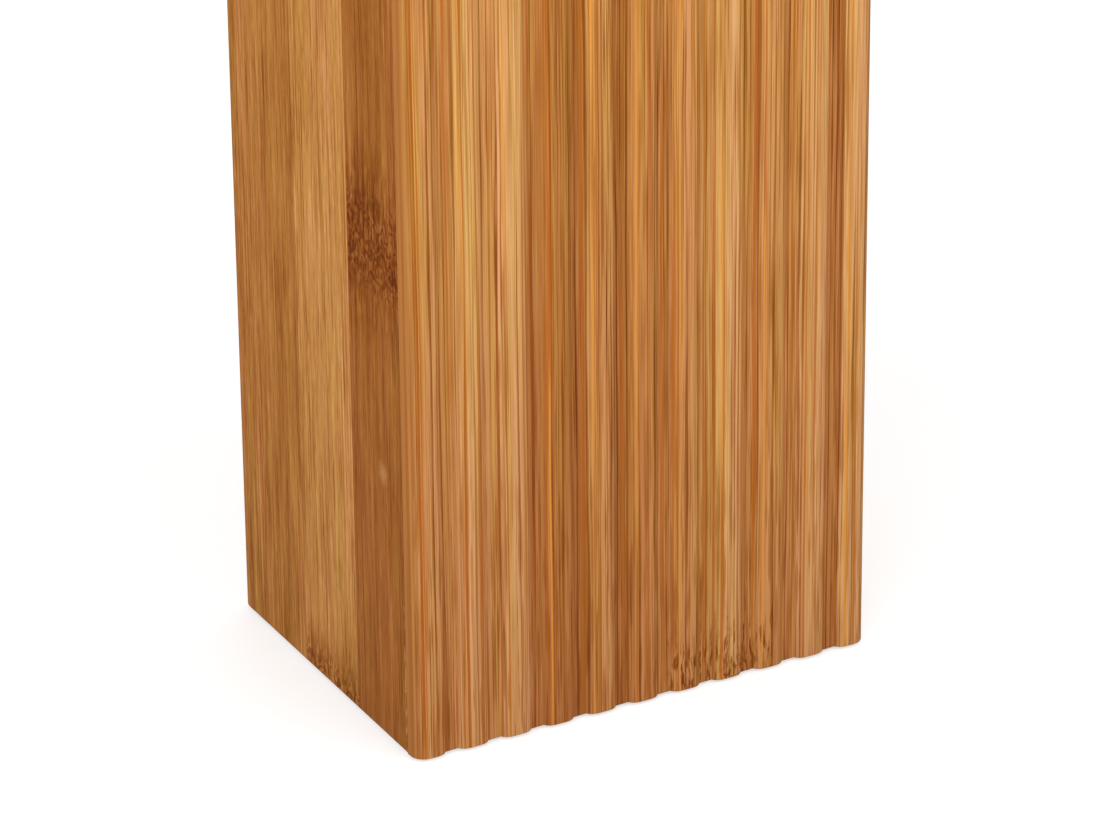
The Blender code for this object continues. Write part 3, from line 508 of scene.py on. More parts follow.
flutedBoard = {
    "ribs": 11,
    "firstRib": 2.6,        # mm from the board's left edge to the first crest
    "pitch": 7.14,
    "grooveWidth": 2.1,
    "depth": 0.85,
    "squareness": 4.5,      # how late a rib turns down to its groove
    "columns": 7,           # on each side of a rib
    "cornerRadius": 2.2,
    "edgeRadius": 0.06,
    "crestTones": ["honey", "tan", "tan", "brown", "honey", "amber", "honey", "tan", "honey", "tan", "tan"],
    # the grooves' tones: strip tones darkened with painted shade for the shade in the grooves
    "shadedGrooveTones": ["amber", "honey", "brown", "dark", "dark", "amber", "honey", "amber", "amber", "brown"],
    "footLine": 2.2,     # mm from a groove's middle to the orange line beside it
    "knotPlace": (51.3, 9.2),   # middle, mm from the left edge, and half its width
    "knotHeight": 9.0,      # where it fades out
    "knotHeart": 53.8,      # middle of its pale patch
    "lightest": 1.24,       # how far the pale strands rise over their tone
    "tints": [(0.30, (0.93, 1.05, 0.86, 1.0)), (0.62, (0.98, 0.97, 1.19, 1.0))],
}

def endGrain(wood, colour, facing, pores):      # the ends show cut vessels
    cut = wood.mix(1 - wood.rise(pores, 0.12, 0.30), tones["endGrain"], tones["fibre"])
    return wood.mix(wood.rise(abs(facing), 0.6, 0.85), colour, cut)


def flutedBamboo():
    board = flutedBoard
    low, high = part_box("front_board")
    wood = Finish("fluted bamboo", Specular_IOR_Level=0.03)
    x, y, z = wood.axes()
    across = x - low.x / mm
    height = z - low.z / mm
    behind = y - low.y / mm
    width = (high.x - low.x) / mm
    wander = wood.noise(x * 0.35, y * 0.35, z * 0.022, 1.0) - 0.5
    u = across + wander * 0.5
    pitch = board["pitch"]
    firstGroove = board["firstRib"] + pitch / 2

    def strips(names, second):      # a tone for each pitch; the second one starts at second
        starts = [0.0] + [(second + pitch * index) / width for index in range(len(names) - 1)]
        stops = [(start, tones[name]) for start, name in zip(starts, names)]
        return wood.ramp(u / width, stops, "CONSTANT")

    # each rib is a strip of its own tone, and so is each groove; the grooves' tones are their strips' own
    # tones made darker with painted shade, for the shade that falls in the grooves
    crest = strips(board["crestTones"], firstGroove)
    groove = strips(board["shadedGrooveTones"], board["firstRib"] + pitch)
    phase = (u - firstGroove + pitch / 2) % pitch - pitch / 2
    inGroove = wood.near(phase, -0.1, 0.9, 0.8)
    colour = wood.mix(inGroove, crest, groove)

    # how light each place is: broad bands, crisp strands of three widths, and hairs
    bands = wood.noise(u * 0.9, 0.0, z * 0.010, 2.0) - 0.5
    broad = wood.strands(u, height, 1.30, 0.016, 91.0)[0] - 0.5
    middling = wood.strands(u, height, 0.42, 0.022, 93.0)[0] - 0.5
    thin = wood.strands(u, height, 0.21, 0.045, 97.0)[0] - 0.5
    hairs = wood.noise(u * 4.6 + 31, 0.0, z * 0.07, 1.0) - 0.5
    lowDown = 1 - wood.rise(height, 12.0, 70.0)
    busy = wood.rise(wood.noise(u * 0.45, 9.0, z * 0.006, 1.0), 0.40, 0.60, 0.60, 1.40) - lowDown * 0.30
    light = 1.055 + bands * 0.12 + broad * 0.15 + middling * 0.60 + (thin * 1.60 + hairs * 0.80) * busy
    light = wood.least(light, board["lightest"])

    # single dark vessels, and pointed streaks, more of them lower down
    vessels = wood.threads(u, height, 1.35, 0.80, 0.38, 0.014, 3.0, 0.04)
    fine = wood.threads(u, height, 0.50, 0.45, 0.42, 0.025, 11.0, 0.03)
    streaks = wood.threads(u, height, 0.55, 1.3, 0.50 - lowDown * 0.05, 0.09, 51.0, 0.05)
    light = light * (1 - vessels * 0.46) * (1 - fine * busy * 0.36) * (1 - streaks * (0.06 + lowDown * 0.22))

    # the knot: strands that end raggedly in leaning flecks, over a pale heart
    knotMiddle, knotHalf = board["knotPlace"]
    leaning = u + wood.noise(u * 0.20, 2.0, height * 0.16, 1.0) * 2.0
    ragged = (wood.noise(leaning * 1.1, 4.0, 0.0, 2.0) - 0.5) * 32
    inKnot = wood.near(across, knotMiddle, knotHalf - 1.5, 2.0)
    inKnot = inKnot * (1 - wood.rise(height + ragged, board["knotHeight"] * 0.4, board["knotHeight"] * 1.2))
    flames = wood.rise(wood.noise(leaning * 2.4, 6.0, height * 0.28, 2.0, 0.6), 0.46, 0.58)
    heart = wood.near(across, board["knotHeart"], 1.6, 2.2) * (1 - wood.rise(height, 1.5, 4.5))
    knotSpecks = wood.rise(wood.noise(u * 2.4, 0.0, height * 0.9, 2.0), 0.50, 0.60)
    light = light * (1 + inKnot * 0.03) * (1 - inKnot * flames * (1 - heart * 0.5) * 0.70)
    light = light * (1 - heart * knotSpecks * 0.55)
    tall = wood.threads(u, height, 1.9, 2.6, 0.44, 0.045, 71.0, 0.25)
    tall = tall * wood.near(across, knotMiddle, knotHalf, 1.0) * wood.near(height, 13.0, 3.0, 7.0)
    light = light * (1 - tall * 0.42)
    hue = wood.strands(u, height, 0.80, 0.015, 17.0)[0] + (0.07 - 0.0013 * height)
    colour = wood.aged(colour, light, hue, board["tints"])

    # pale lines and red-brown ones
    paleLines = wood.threads(u, height, 0.80, 0.55, 0.42, 0.050, 23.0, 0.04)
    colour = wood.mix(paleLines * 0.20, colour, tones["pale"])
    redLines = wood.threads(u, height, 1.6, 0.95, 0.41, 0.010, 37.0, 0.05)
    colour = wood.mix(redLines * 0.70, colour, tones["rust"])

    # an orange line painted along each rib's left foot, and beside it a dark line of painted shade where the
    # groove's flank is shaded
    line = wood.near(phase, board["footLine"], 0.06, 0.16)
    lineNoise = wood.noise(across * 0.3 + 5, 0.0, z * 0.02, 1.0)
    lineStrength = wood.rise(lineNoise, 0.36, 0.60, 0.40, 0.95)
    # painted shade: a dark line at the groove's edge, drawn where the orange line is weak
    paintedShadeLine = wood.near(phase, board["footLine"] - 0.45, 0.06, 0.14)
    colour = wood.mix(paintedShadeLine * (1 - lineStrength) * 0.8, colour, tones["streak"])
    lineColour = wood.mix(wood.rise(lineNoise, 0.42, 0.56), tones["footLineBrown"], tones["orange"])
    colour = wood.mix(line * lineStrength, colour, lineColour)

    # the ends, and the upright edges with a strip line behind the ribs
    facing = wood.facing()
    colour = endGrain(wood, colour, facing[2], wood.cells(x * 2.1, y * 2.1, z * 0.05))
    edgeFace = wood.rise(abs(facing[0]), 0.7, 0.9)
    edgeColour = wood.mix(wood.rise(behind, 0.9, 1.6), tones["edge"], tones["amber"])
    edgeGrain = wood.threads(y + wander * 0.4, height, 0.55, 0.8, 0.40, 0.03, 5.0)
    edgeColour = wood.brighten(edgeColour, 1.0 + (wood.noise(y * 1.2, 3.0, z * 0.012) - 0.5) * 0.5)
    edgeColour = wood.mix(edgeGrain * 0.35, edgeColour, tones["streak"])
    edgeLine = wood.near(behind, 1.6, 0.15, 0.25)
    edgeColour = wood.mix(edgeLine * 0.4, edgeColour, tones["streak"])
    colour = wood.mix(edgeFace, colour, edgeColour)

    relief = middling * 0.5 + hairs * 0.2 - vessels * 0.35 - fine * 0.2
    return wood.surface(colour, 0.52 + hairs * 0.2 - line * 0.12, relief, 0.00006)


def plainBamboo(name, axes, start, look, seed):
    # a board of wide strips. axes give the way across the strips, through the board and along them;
    # start is where the board begins across and along, in mm
    wood = Finish(name, Specular_IOR_Level=0.03)
    place = dict(zip("xyz", wood.axes()))
    normal = dict(zip("xyz", wood.facing()))
    acrossAxis, throughAxis, alongAxis = axes
    across = place[acrossAxis] - start[0]
    along = place[alongAxis] - start[1]
    through = place[throughAxis] + seed * 13
    reach = 80.0            # mm that the ramp of the strips' tones spans
    wander = wood.noise(across * 0.12, through * 0.2, along * 0.012 + seed, 2.0) - 0.5
    u = across + wander * 0.9 + place[throughAxis] * 0.8
    stops = [(edge / reach, tones[tone]) for edge, tone in look["strips"]]
    colour = wood.ramp(across / reach, stops, "CONSTANT")

    # how light each place is: clouds, stripes, crisp strands of two widths, and hairs
    clouds = wood.noise(across * 0.12, through * 0.1, along * 0.018 + 5 + seed, 2.0) - 0.5
    stripes = wood.noise(u * 0.55, seed, along * 0.016, 2.0) - 0.5
    middling = wood.strands(u, along, 1.05, 0.030, seed + 3.0)[0] - 0.5
    thin = wood.strands(u, along, 0.48, 0.060, seed + 5.0)[0] - 0.5
    hairs = wood.noise(u * 5.0, seed, along * 0.35, 2.0) - 0.5
    light = 1.07 + clouds * 0.50 + stripes * 0.40 + middling * 0.65 + thin * 1.20 + hairs * 1.00
    fine = wood.threads(u, along, 0.95, 0.95, 0.43, 0.030, seed + 7.0, 0.07)
    dashes = wood.threads(u, along, 0.80, 1.10, 0.50, 0.070, seed + 31.0, 0.07)
    paleLines = wood.threads(u, along, 0.90, 0.8, 0.46, 0.045, seed + 17.0, 0.07)
    light = light * (1 - fine * 0.28) * (1 - dashes * 0.34) + paleLines * 0.14
    slope = wood.noise((along - across * 0.36) * 2.6, seed, (across + along * 0.36) * 0.09, 1.0)
    light = light + wood.rise(slope, 0.60, 0.72) * 0.06
    for edge, tone in look["strips"][1:]:
        light = light * (1 - wood.near(across, edge, 0.02, 0.16) * 0.25)

    # knots: a stained zone across one strip, drawn out along its strands, with a curled heart
    for middle, halfWidth, height, halfLength in look["knots"]:
        own, strand = wood.strands(u, along, 0.38, 0.26, seed + 53.0)[:2]
        ragged = (wood.noise(strand * 0.9, seed, 0.0, 2.0) - 0.5) * halfLength * 1.3
        distance = abs(along - height) + ragged
        inStrip = wood.near(across, middle, halfWidth - 0.15, 0.3)
        shadow = inStrip * (1 - wood.rise(distance, halfLength * 0.6, halfLength * 1.9))
        core = inStrip * (1 - wood.rise(distance, halfLength * 0.30, halfLength * 0.95))
        curled = wood.point(across * 0.28, seed, along * 0.125)
        waveSockets = {"Vector": curled, "Scale": 1.0, "Distortion": 15.0, "Detail": 2.0,
                       "Detail Scale": 2.0, "Detail Roughness": 0.6}
        wave = wood.node("TexWave", {"bands_direction": "Z"}, waveSockets, 1)
        curls = wood.rise(wave, 0.30, 0.68)
        drawn = wood.rise(own, 0.42, 0.58)
        above = inStrip * wood.rise(along, height, height + 16)
        light = light * (1 - shadow * 0.08) * (1 - shadow * drawn * 0.38) * (1 + above * 0.08)
        light = light * (1 + core * 0.06) * (1 - core * curls * 0.50)
    hue = wood.strands(u, along, 1.6, 0.020, seed + 61.0)[0] * 0.6 + (clouds + 0.5) * 0.4
    colour = wood.aged(colour, light, hue, plainBoards["tints"])

    # crumbs of glue pressed out along the front joint, low down
    if look.get("glued"):
        crumbs = wood.rise(wood.noise(across * 4, through, along * 0.5, 4.0, 0.65), 0.48, 0.58)
        crumbs = crumbs * (1 - wood.rise(across, 0.15, 0.32)) * (1 - wood.rise(along, 14.0, 34.0))
        colour = wood.mix(crumbs * 0.75, colour, tones["pale"])

    # sanded-over filler
    for middle, height, size in look.get("spots", []):
        reachAcross = (across - middle) / size
        reachAlong = (along - height) / (size * 1.3)
        spotEdge = wood.noise(across * 1.5, seed, along * 1.5, 2.0) * 0.8
        spot = 1 - wood.rise((reachAcross ** 2 + reachAlong ** 2) ** 0.5 + spotEdge, 0.5, 1.9)
        colour = wood.mix(spot * 0.35, colour, tones["pale"])

    pores = wood.cells(across * 1.9, through * 1.9, along * 0.02)
    colour = endGrain(wood, colour, normal[alongAxis], pores)
    relief = middling * 0.4 + hairs * 0.2 - fine * 0.2 - dashes * 0.3
    return wood.surface(colour, 0.52 + middling * 0.2, relief, 0.00005)


def recessAt(x, board):     # mm from the crest plane back to the ribbed face
    half = (board["pitch"] - board["grooveWidth"]) / 2
    middles = [board["firstRib"] + board["pitch"] * index for index in range(board["ribs"])]
    share = min(min(abs(x - middle) for middle in middles) / half, 1.0)
    return board["depth"] * share ** board["squareness"]


def makeFrontBoard():
    board = flutedBoard
    low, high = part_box("front_board")
    obj = startBox("fluted_front", low, high)
    half = (board["pitch"] - board["grooveWidth"]) / 2
    width = (high.x - low.x) / mm

    # cut upright lines where each rib bends
    places = []
    for index in range(board["ribs"]):
        middle = board["firstRib"] + board["pitch"] * index
        for step in range(-board["columns"], board["columns"] + 1):
            place = middle + half * math.sin(math.pi / 2 * step / board["columns"])
            if board["cornerRadius"] < place < width - board["cornerRadius"]:
                places.append(place)
    for place in places:
        bpy.ops.mesh.select_all(action="SELECT")
        bpy.ops.mesh.bisect(plane_co=(low.x + place * mm, 0.0, 0.0), plane_no=(1.0, 0.0, 0.0))

    # push the columns that lie equally deep back together
    depths = {}
    for place in places + [0.0, width]:
        level = min(max(place, board["cornerRadius"]), width - board["cornerRadius"])
        depths.setdefault(round(recessAt(level, board), 5), []).append(low.x + place * mm)
    for depth, columns in depths.items():
        if depth < 0.001:
            continue
        selectBy(obj, "VERT", lambda at: at.y < low.y + tiny and min(abs(at.x - c) for c in columns) < tiny)
        bpy.ops.transform.translate(value=(0.0, depth * mm, 0.0))

    # round the two front corners, then ease the ends
    roundEdges(obj, board["cornerRadius"], 5, lambda at, along: isUpright(along) and at.y < low.y + 0.0015
               and min(abs(at.x - low.x), abs(at.x - high.x)) < tiny)
    roundEdges(obj, board["edgeRadius"], 2, lambda at, along: isLevel(along) and atEnds(at, low, high)
               and at.y < high.y - 1e-5)
    finishPiece(obj, "case", "bamboo_front", "front_board", flutedBamboo(), 30)


makeFrontBoard()
print("fluted front made")


# The plain boards: left, right, back, top and base

# strips: where each starts, mm, and its tone; knots: middle, half width, height and half length;
# spots of filler: middle, height and size
plainBoards = {
    "edgeRadius": 0.30,
    "backCorner": 2.5,
    "neckHole": 14.2,       # radius of the hole in the top for the neck
    "holeEdge": 0.5,
    "tints": [(0.38, (0.96, 1.01, 0.74, 1.0)), (0.62, (1.02, 0.97, 0.94, 1.0))],
    "left": {
        "piece": "left_side",
        "axes": "yxz",
        "strips": [(0.0, "dark"), (15.5, "honey"), (32.9, "amber")],
        "knots": [(7.75, 7.75, 78.5, 10.5), (24.2, 8.7, 0.0, 5.0)],
        "spots": [(5.9, 43.3, 1.3)],
        "glued": True,
    },
    "right": {
        "piece": "right_side",
        "axes": "yxz",
        "strips": [(0.0, "honey"), (17.5, "amber"), (36.0, "tan")],
        "knots": [(26.75, 9.25, 31.0, 9.0)],
        "glued": True,
    },
    "back": {
        "piece": "back_panel",
        "axes": "xyz",
        "strips": [(0.0, "amber"), (12.0, "honey"), (31.5, "brown"), (51.0, "tan"), (70.0, "amber")],
        "knots": [(21.75, 9.75, 96.0, 10.0), (60.5, 9.5, 27.0, 8.0)],
    },
    "top": {
        "piece": "top_panel",
        "axes": "yzx",
        "strips": [(0.0, "honey"), (16.0, "tan"), (34.0, "amber")],
        "knots": [(8.0, 8.0, 9.0, 6.0)],
    },
    "base": {
        "piece": "base_panel",
        "axes": "yzx",
        "strips": [(0.0, "amber"), (16.0, "brown"), (35.0, "honey")],
        "knots": [],
    },
}


def boreNeckHole(obj, low, high):
    radius = plainBoards["neckHole"] * mm
    drillHole(obj, 96, radius, 0.02, (0.0, 0.0, (low.z + high.z) / 2))
    roundEdges(obj, plainBoards["holeEdge"], 3,
               lambda at, along: abs(at.xy.length - radius) < 2e-5 and atEnds(at, low, high))


def makePlainBoard(kind, seed):
    look = plainBoards[kind]
    node = kind + "_board"
    low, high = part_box(node)
    obj = startBox(look["piece"], low, high)
    if kind == "back":
        roundEdges(obj, plainBoards["backCorner"], 8,
                   lambda at, along: isUpright(along) and at.y > high.y - tiny)
    isWall = look["axes"][2] == "z"     # of a wall only the ends are eased
    roundEdges(obj, plainBoards["edgeRadius"], 3,
               lambda at, along: not isWall or (isLevel(along) and atEnds(at, low, high)))
    if kind == "top":
        boreNeckHole(obj, low, high)
    start = [low["xyz".index(axis)] / mm for axis in (look["axes"][0], look["axes"][2])]
    material = plainBamboo(look["piece"].replace("_", " "), look["axes"], start, look, seed)
    finishPiece(obj, "case", "bamboo_side", node, material)


for seed, kind in enumerate(("left", "right", "back", "top", "base"), 1):
    makePlainBoard(kind, seed)
print("plain boards made")


# Glue in the four upright joints of the case

glueJoint = {
    "setBack": 0.12,        # mm under the boards' faces
}


def gluedJoint():
    skin = Finish("dried glue")
    x, y, z = skin.axes()
    crumbs = skin.rise(skin.noise(x * 2, y * 2, z * 0.9, 3.0), 0.52, 0.62)
    low = 1 - skin.rise(z, 12.0, 20.0, 0.0, 0.92)
    colour = skin.mix(crumbs * low, tones["glue"], tones["pale"])
    return skin.surface(colour, 0.6, crumbs, 0.00003)


def makeGlueJoints():
    material = gluedJoint()
    back = glueJoint["setBack"] * mm
    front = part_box("front_board")[1].y
    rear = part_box("back_board")[0].y
    for side in ("left", "right"):
        low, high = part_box(side + "_board")
        startX = low.x + back * (side == "left")
        endX = high.x - back * (side == "right")
        for place, startY, endY in (("front", front, low.y), ("rear", high.y, rear)):
            obj = startBox(f"glue_{place}_{side}", (startX, startY, low.z + back),
                           (endX, endY, high.z - back))
            bpy.ops.mesh.subdivide(number_cuts=2)
            finishPiece(obj, "case", "bamboo_side", None, material)


makeGlueJoints()
print("glue joints made")


# Foam, plastics, rubber and steel

def foam():
    skin = Finish("closed cell foam", Specular_IOR_Level=0.25)
    x, y, z = skin.axes()
    cells = skin.cells(x * 3.2, y * 3.2, z * 3.2)
    fine = skin.noise(x * 7.0, y * 7.0, z * 7.0, 2.0)
    dust = skin.rise(skin.noise(x * 1.1, y * 1.1, z * 1.1, 4.0, 0.7), 0.60, 0.75)
    colour = skin.mix(cells, shade(26, 26, 28), shade(44, 44, 46))
    colour = skin.mix(dust * 0.25, colour, shade(92, 90, 88))
    return skin.surface(colour, 0.86 + fine * 0.12, cells * 0.7 + fine * 0.3, 0.00016)


def mouldedPlastic(name, colour, gloss, haze=0.15):
    # faint flow marks, a fine grain and a few scuffs
    skin = Finish(name, Subsurface_Weight=haze, Subsurface_Scale=0.002)
    x, y, z = skin.axes()
    flow = skin.noise(x * 0.16, y * 0.16, z * 0.07, 2.0)
    grain = skin.noise(x * 9.0, y * 9.0, z * 9.0, 1.0)
    scuffs = skin.rise(skin.noise(x * 1.3, y * 1.3, z * 4.0, 3.0, 0.65), 0.62, 0.74)
    tinted = skin.brighten(colour, 0.96 + flow * 0.07 - scuffs * 0.04)
    return skin.surface(tinted, gloss + flow * 0.08 + scuffs * 0.14, grain * 0.4 + flow, 0.00002)


def softRubber():
    skin = Finish("gasket rubber", Specular_IOR_Level=0.3)
    x, y, z = skin.axes()
    grain = skin.noise(x * 5.0, y * 5.0, z * 5.0, 3.0)
    colour = skin.mix(grain, shade(46, 46, 48), shade(66, 66, 68))
    return skin.surface(colour, 0.68 + grain * 0.2, grain, 0.00005)


def brushedSteel(name, lengthwise=False):
    # satin lines run round a turned piece, or along a tube that lies in Y
    skin = Finish(name, Metallic=1.0)
    x, y, z = skin.axes()
    radius = (x * x + y * y) ** 0.5
    if lengthwise:
        lines = skin.noise(x * 7.0, y * 0.16, z * 7.0, 3.0, 0.65)
        broad = skin.noise(x * 1.4, y * 0.05, z * 1.4, 2.0)
    else:
        reach = z + radius
        turnX, turnY = x / (radius + 0.01), y / (radius + 0.01)
        lines = skin.noise(turnX * 1.6, turnY * 1.6, reach * 9.0, 3.0, 0.65)
        broad = skin.noise(turnX * 0.8, turnY * 0.8, reach * 1.6, 2.0)
    smudges = skin.noise(x * 0.13, y * 0.13, z * 0.13, 3.0, 0.6)
    colour = skin.mix(lines * 0.6 + broad * 0.4, shade(132, 132, 130), shade(180, 179, 176))
    return skin.surface(colour, 0.22 + lines * 0.16 + smudges * 0.10, lines, 0.000012)


def brightSteel():
    skin = Finish("bright steel", Metallic=1.0)
    x, y, z = skin.axes()
    drawn = skin.noise(x * 2.5, y * 2.5, z * 2.5, 4.0, 0.6)
    colour = skin.mix(drawn, shade(156, 157, 160), shade(192, 193, 195))
    return skin.surface(colour, 0.10 + drawn * 0.14, drawn, 0.00001)


finishes = {                # by the frame's slots
    "liner_plastic": mouldedPlastic("milky bottle plastic", shade(226, 226, 220), 0.40, 0.35),
    "pump_plastic": mouldedPlastic("natural pump plastic", shade(231, 231, 227), 0.32),
    "tube_plastic": mouldedPlastic("natural tube plastic", shade(222, 223, 219), 0.22, 0.3),
    "gasket_rubber": softRubber(),
    "black_foam": foam(),
    "satin_steel": brushedSteel("steel brushed round"),
    "bright_steel": brightSteel(),
}
print("finishes made")


# Foam pad under the base

pad = {
    "corner": 4.0,
    "edge": 0.25,
}


def makePad():
    low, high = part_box("base_pad")
    obj = startBox("foam_pad", low, high)
    roundEdges(obj, pad["corner"], 8, lambda at, along: isUpright(along))
    roundEdges(obj, pad["edge"], 2, lambda at, along: isLevel(along))
    finishPiece(obj, "case", "black_foam", "base_pad")


makePad()
print("foam pad made")


# Liner bottle

neckThread = {              # of the bottle's neck and of the nut
    "pitch": 3.2,
    "turns": 1.5,
    "steps": 32,            # in a turn
    "wire": {"sides": 10, "radius": 0.75},
    "flat": 0.8,            # how far it stands out, against its height
}

bottle = {
    "corner": 8.0,
    "cornerSteps": 12,
    "foot": 3.0,
    "shoulderRadius": 5.5,
    "shoulderRise": 4.5,
    "neckLength": 18.3,
    "neckRadius": 12.5,
    "wall": 1.2,
    "threadRadius": 12.55,
    "threadTop": 3.0,       # below the mouth
}


def addThread(obj, radius, start):      # start is the height of its lower end, both in mm
    pitch, turns, steps, wire, flat = pick(neckThread, "pitch turns steps wire flat")
    ridge = windPiece("thread_ridge", radius, wire, start, [pitch / steps] * int(turns * steps), steps, flat)
    selectOnly(obj, ridge)
    bpy.ops.object.join()


def makeBottle():
    low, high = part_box("liner_bottle")
    foldHeight = high.z - (bottle["neckLength"] + bottle["shoulderRise"]) * mm
    obj = startBox("soap_bottle", low, (high.x, high.y, foldHeight))
    roundEdges(obj, bottle["corner"], bottle["cornerSteps"], lambda at, along: isUpright(along))
    roundEdges(obj, bottle["foot"], 5, lambda at, along: at.z < low.z + tiny)
    roundEdges(obj, bottle["shoulderRadius"], 6, lambda at, along: at.z > foldHeight - tiny)

    # open the top, bridge it to the neck's foot, which has as many sides, and draw the neck up
    selectBy(obj, "FACE", lambda at, normal: normal.z > 0.999)
    bpy.ops.mesh.delete(type="FACE")
    neckFoot = high.z - bottle["neckLength"] * mm
    bpy.ops.mesh.primitive_circle_add(vertices=4 * (bottle["cornerSteps"] + 1),
                                      radius=bottle["neckRadius"] * mm, location=(0.0, 0.0, neckFoot))
    selectBy(obj, "EDGE", lambda at, along: at.z > neckFoot - tiny
             or (abs(at.z - foldHeight) < tiny and isLevel(along)))
    bpy.ops.mesh.bridge_edge_loops(number_cuts=5, interpolation="LINEAR")
    selectBy(obj, "EDGE", lambda at, along: at.z > neckFoot - tiny and isLevel(along))
    drawOut((0.0, 0.0, high.z - neckFoot))
    tidyMesh(obj)
    thicken(obj, bottle["wall"])
    threadFoot = high.z / mm - bottle["threadTop"] - neckThread["pitch"] * neckThread["turns"]
    addThread(obj, bottle["threadRadius"], threadFoot)
    finishPiece(obj, "case", "liner_plastic", "liner_bottle")


makeBottle()
print("bottle made")


# Pump: the pieces that stay on the neck

housing = {
    "bore": 6.5,
    "wall": 1.1,
    "flange": 1.4,
    "fillet": 0.4,          # under the flange
    "springGap": 0.3,       # between the spring and the floor under it
    "tail": 4.6,
    "tailLength": 9.0,
    "socket": 3.5,
    "orifice": 1.5,
    "orificeLength": 1.0,
    "pocket": 2.9,          # of the foot valve's ball
    "lip": 2.1,
    "lipHeight": 1.2,
}


def makeHousing():
    rim, bottom, top = spanOf("pump_housing")
    bore, wall, flange, fillet, tail, socket = pick(housing, "bore wall flange fillet tail socket")
    orifice, pocket, lip, lipHeight = pick(housing, "orifice pocket lip lipHeight")
    outer = bore + wall
    socketTop = bottom + housing["tailLength"]
    cone = socketTop + housing["orificeLength"]
    floor = spanOf("pump_spring")[1] - housing["springGap"]
    lipFoot = floor - lipHeight
    under = top - flange
    outline = [
        (tail, bottom), (tail, floor - (outer - tail)), (outer, floor), (outer, under - fillet),
        (outer + fillet, under), (rim, under), (rim, top), (bore, top), (bore, floor),
        (lip, floor), (lip, lipFoot), (pocket, lipFoot - (pocket - lip)),
        (pocket, cone + pocket - orifice), (orifice, cone), (orifice, socketTop),
        (socket, socketTop), (socket, bottom),
    ]
    obj = turnPiece("pump_cylinder", outline, 64)
    finishPiece(obj, "pump", "pump_plastic", "pump_housing")


housingCap = {
    "bore": 4.8,
    "skirt": 6.35,
    "edge": 0.4,
    "rimHeight": 4.3,
    "recess": (0.5, 0.2, 0.25),     # round the bore: its floor's width, its slope's, its depth
}


def makeHousingCap():
    rim, bottom, top = spanOf("housing_cap")
    bore, skirt, edge, rimHeight = pick(housingCap, "bore skirt edge rimHeight")
    ledge, slope, depth = housingCap["recess"]
    rimBottom = top - rimHeight
    outline = [(skirt, bottom), (skirt, rimBottom), (rim, rimBottom)]
    outline += arc((rim - edge, top - edge), edge, 0, 90, 4)
    outline += [(bore + ledge + slope, top), (bore + ledge, top - depth), (bore, top - depth), (bore, bottom)]
    obj = turnPiece("guide_cap", outline, edge=0.06)
    finishPiece(obj, "pump", "pump_plastic", "housing_cap")


gasket = {
    "bore": 7.9,
    "edge": 0.25,
}


def makeGasket():
    rim, bottom, top = spanOf("neck_gasket")
    bore, edge = pick(gasket, "bore edge")
    outline = [(bore, bottom), (rim - edge, bottom)]
    outline += arc((rim - edge, bottom + edge), edge, -90, 0, 3)[1:]
    outline += arc((rim - edge, top - edge), edge, 0, 90, 3)
    outline += [(bore, top)]
    obj = turnPiece("rim_gasket", outline, edge=0.05)
    finishPiece(obj, "pump", "gasket_rubber", "neck_gasket")


dipTube = {
    "wall": 1.0,
    "slant": 30.0,          # degrees, of its foot
}


def makeDipTube():
    low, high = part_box("dip_tube")
    obj = startCircle("suction_tube", 48, high.x, (0.0, 0.0, high.z))
    drawOut((0.0, 0.0, low.z - high.z))
    slant = math.radians(dipTube["slant"])
    bpy.ops.mesh.select_all(action="SELECT")
    bpy.ops.mesh.bisect(plane_co=(0.0, high.x, low.z), plane_no=(0.0, math.sin(slant), math.cos(slant)),
                        clear_inner=True)
    tidyMesh(obj)
    thicken(obj, dipTube["wall"])
    finishPiece(obj, "pump", "tube_plastic", "dip_tube")


spring = {
    "meanRadius": 4.9,
    "turns": 8,
    "endPitch": 1.4,
    "stroke": 12.0,
    "steps": 28,            # in a turn
    "wire": {"sides": 10, "radius": 0.45},
}


def makeSpring():
    low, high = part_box("pump_spring")
    bottom, top = low.z / mm, high.z / mm
    radius, turns, endPitch, steps, wire = pick(spring, "meanRadius turns endPitch steps wire")
    thick = wire["radius"]
    middlePitch = (top - bottom - 2 * thick - 2 * endPitch) / (turns - 2)
    rises = [endPitch / steps] * steps
    rises += [middlePitch / steps] * (steps * (turns - 2)) + rises
    obj = windPiece("return_spring", radius, wire, bottom + thick, rises, steps)
    finishPiece(obj, "pump", "bright_steel", "pump_spring", angle=60)
    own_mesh(obj)


def makeBall(name, node, body, cuts=11):
    low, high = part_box(node)
    middle = (low + high) / 2
    radius = (high.z - low.z) / 2
    corner = Vector((radius,) * 3)
    obj = startBox(name, middle - corner, middle + corner)
    bpy.ops.mesh.subdivide(number_cuts=cuts)
    bpy.ops.transform.tosphere(value=1.0)
    bpy.ops.object.mode_set(mode="OBJECT")
    scale = radius / max((vertex.co - middle).length for vertex in obj.data.vertices)
    selectAll()
    bpy.ops.transform.resize(value=(scale,) * 3, center_override=middle)
    finishPiece(obj, body, "bright_steel", node, angle=60)


makeHousing()
makeHousingCap()
makeGasket()
makeDipTube()
makeSpring()
makeBall("foot_valve_ball", "inlet_ball", "inlet_ball")
makeBall("outlet_valve_ball", "outlet_ball", "outlet_ball")
print("pump pieces made")


# Collar: the threaded nut and its steel cover

collar = {
    "hole": 8.5,
    "nutBore": 14.0,
    "nutCeiling": 1.2,
    "nutEdge": 1.3,
    "threadRadius": 14.05,
    "threadFoot": 2.4,      # above the nut's foot
    "coverWall": 0.7,
    "coverEdge": 2.0,
    "footEdge": 0.15,
    "holeEdge": 0.1,
    "rollHeight": 0.5,      # of the rolled foot
    "groove": (0.12, 0.15, 0.5),    # over the roll: depth, slope's height, height
}


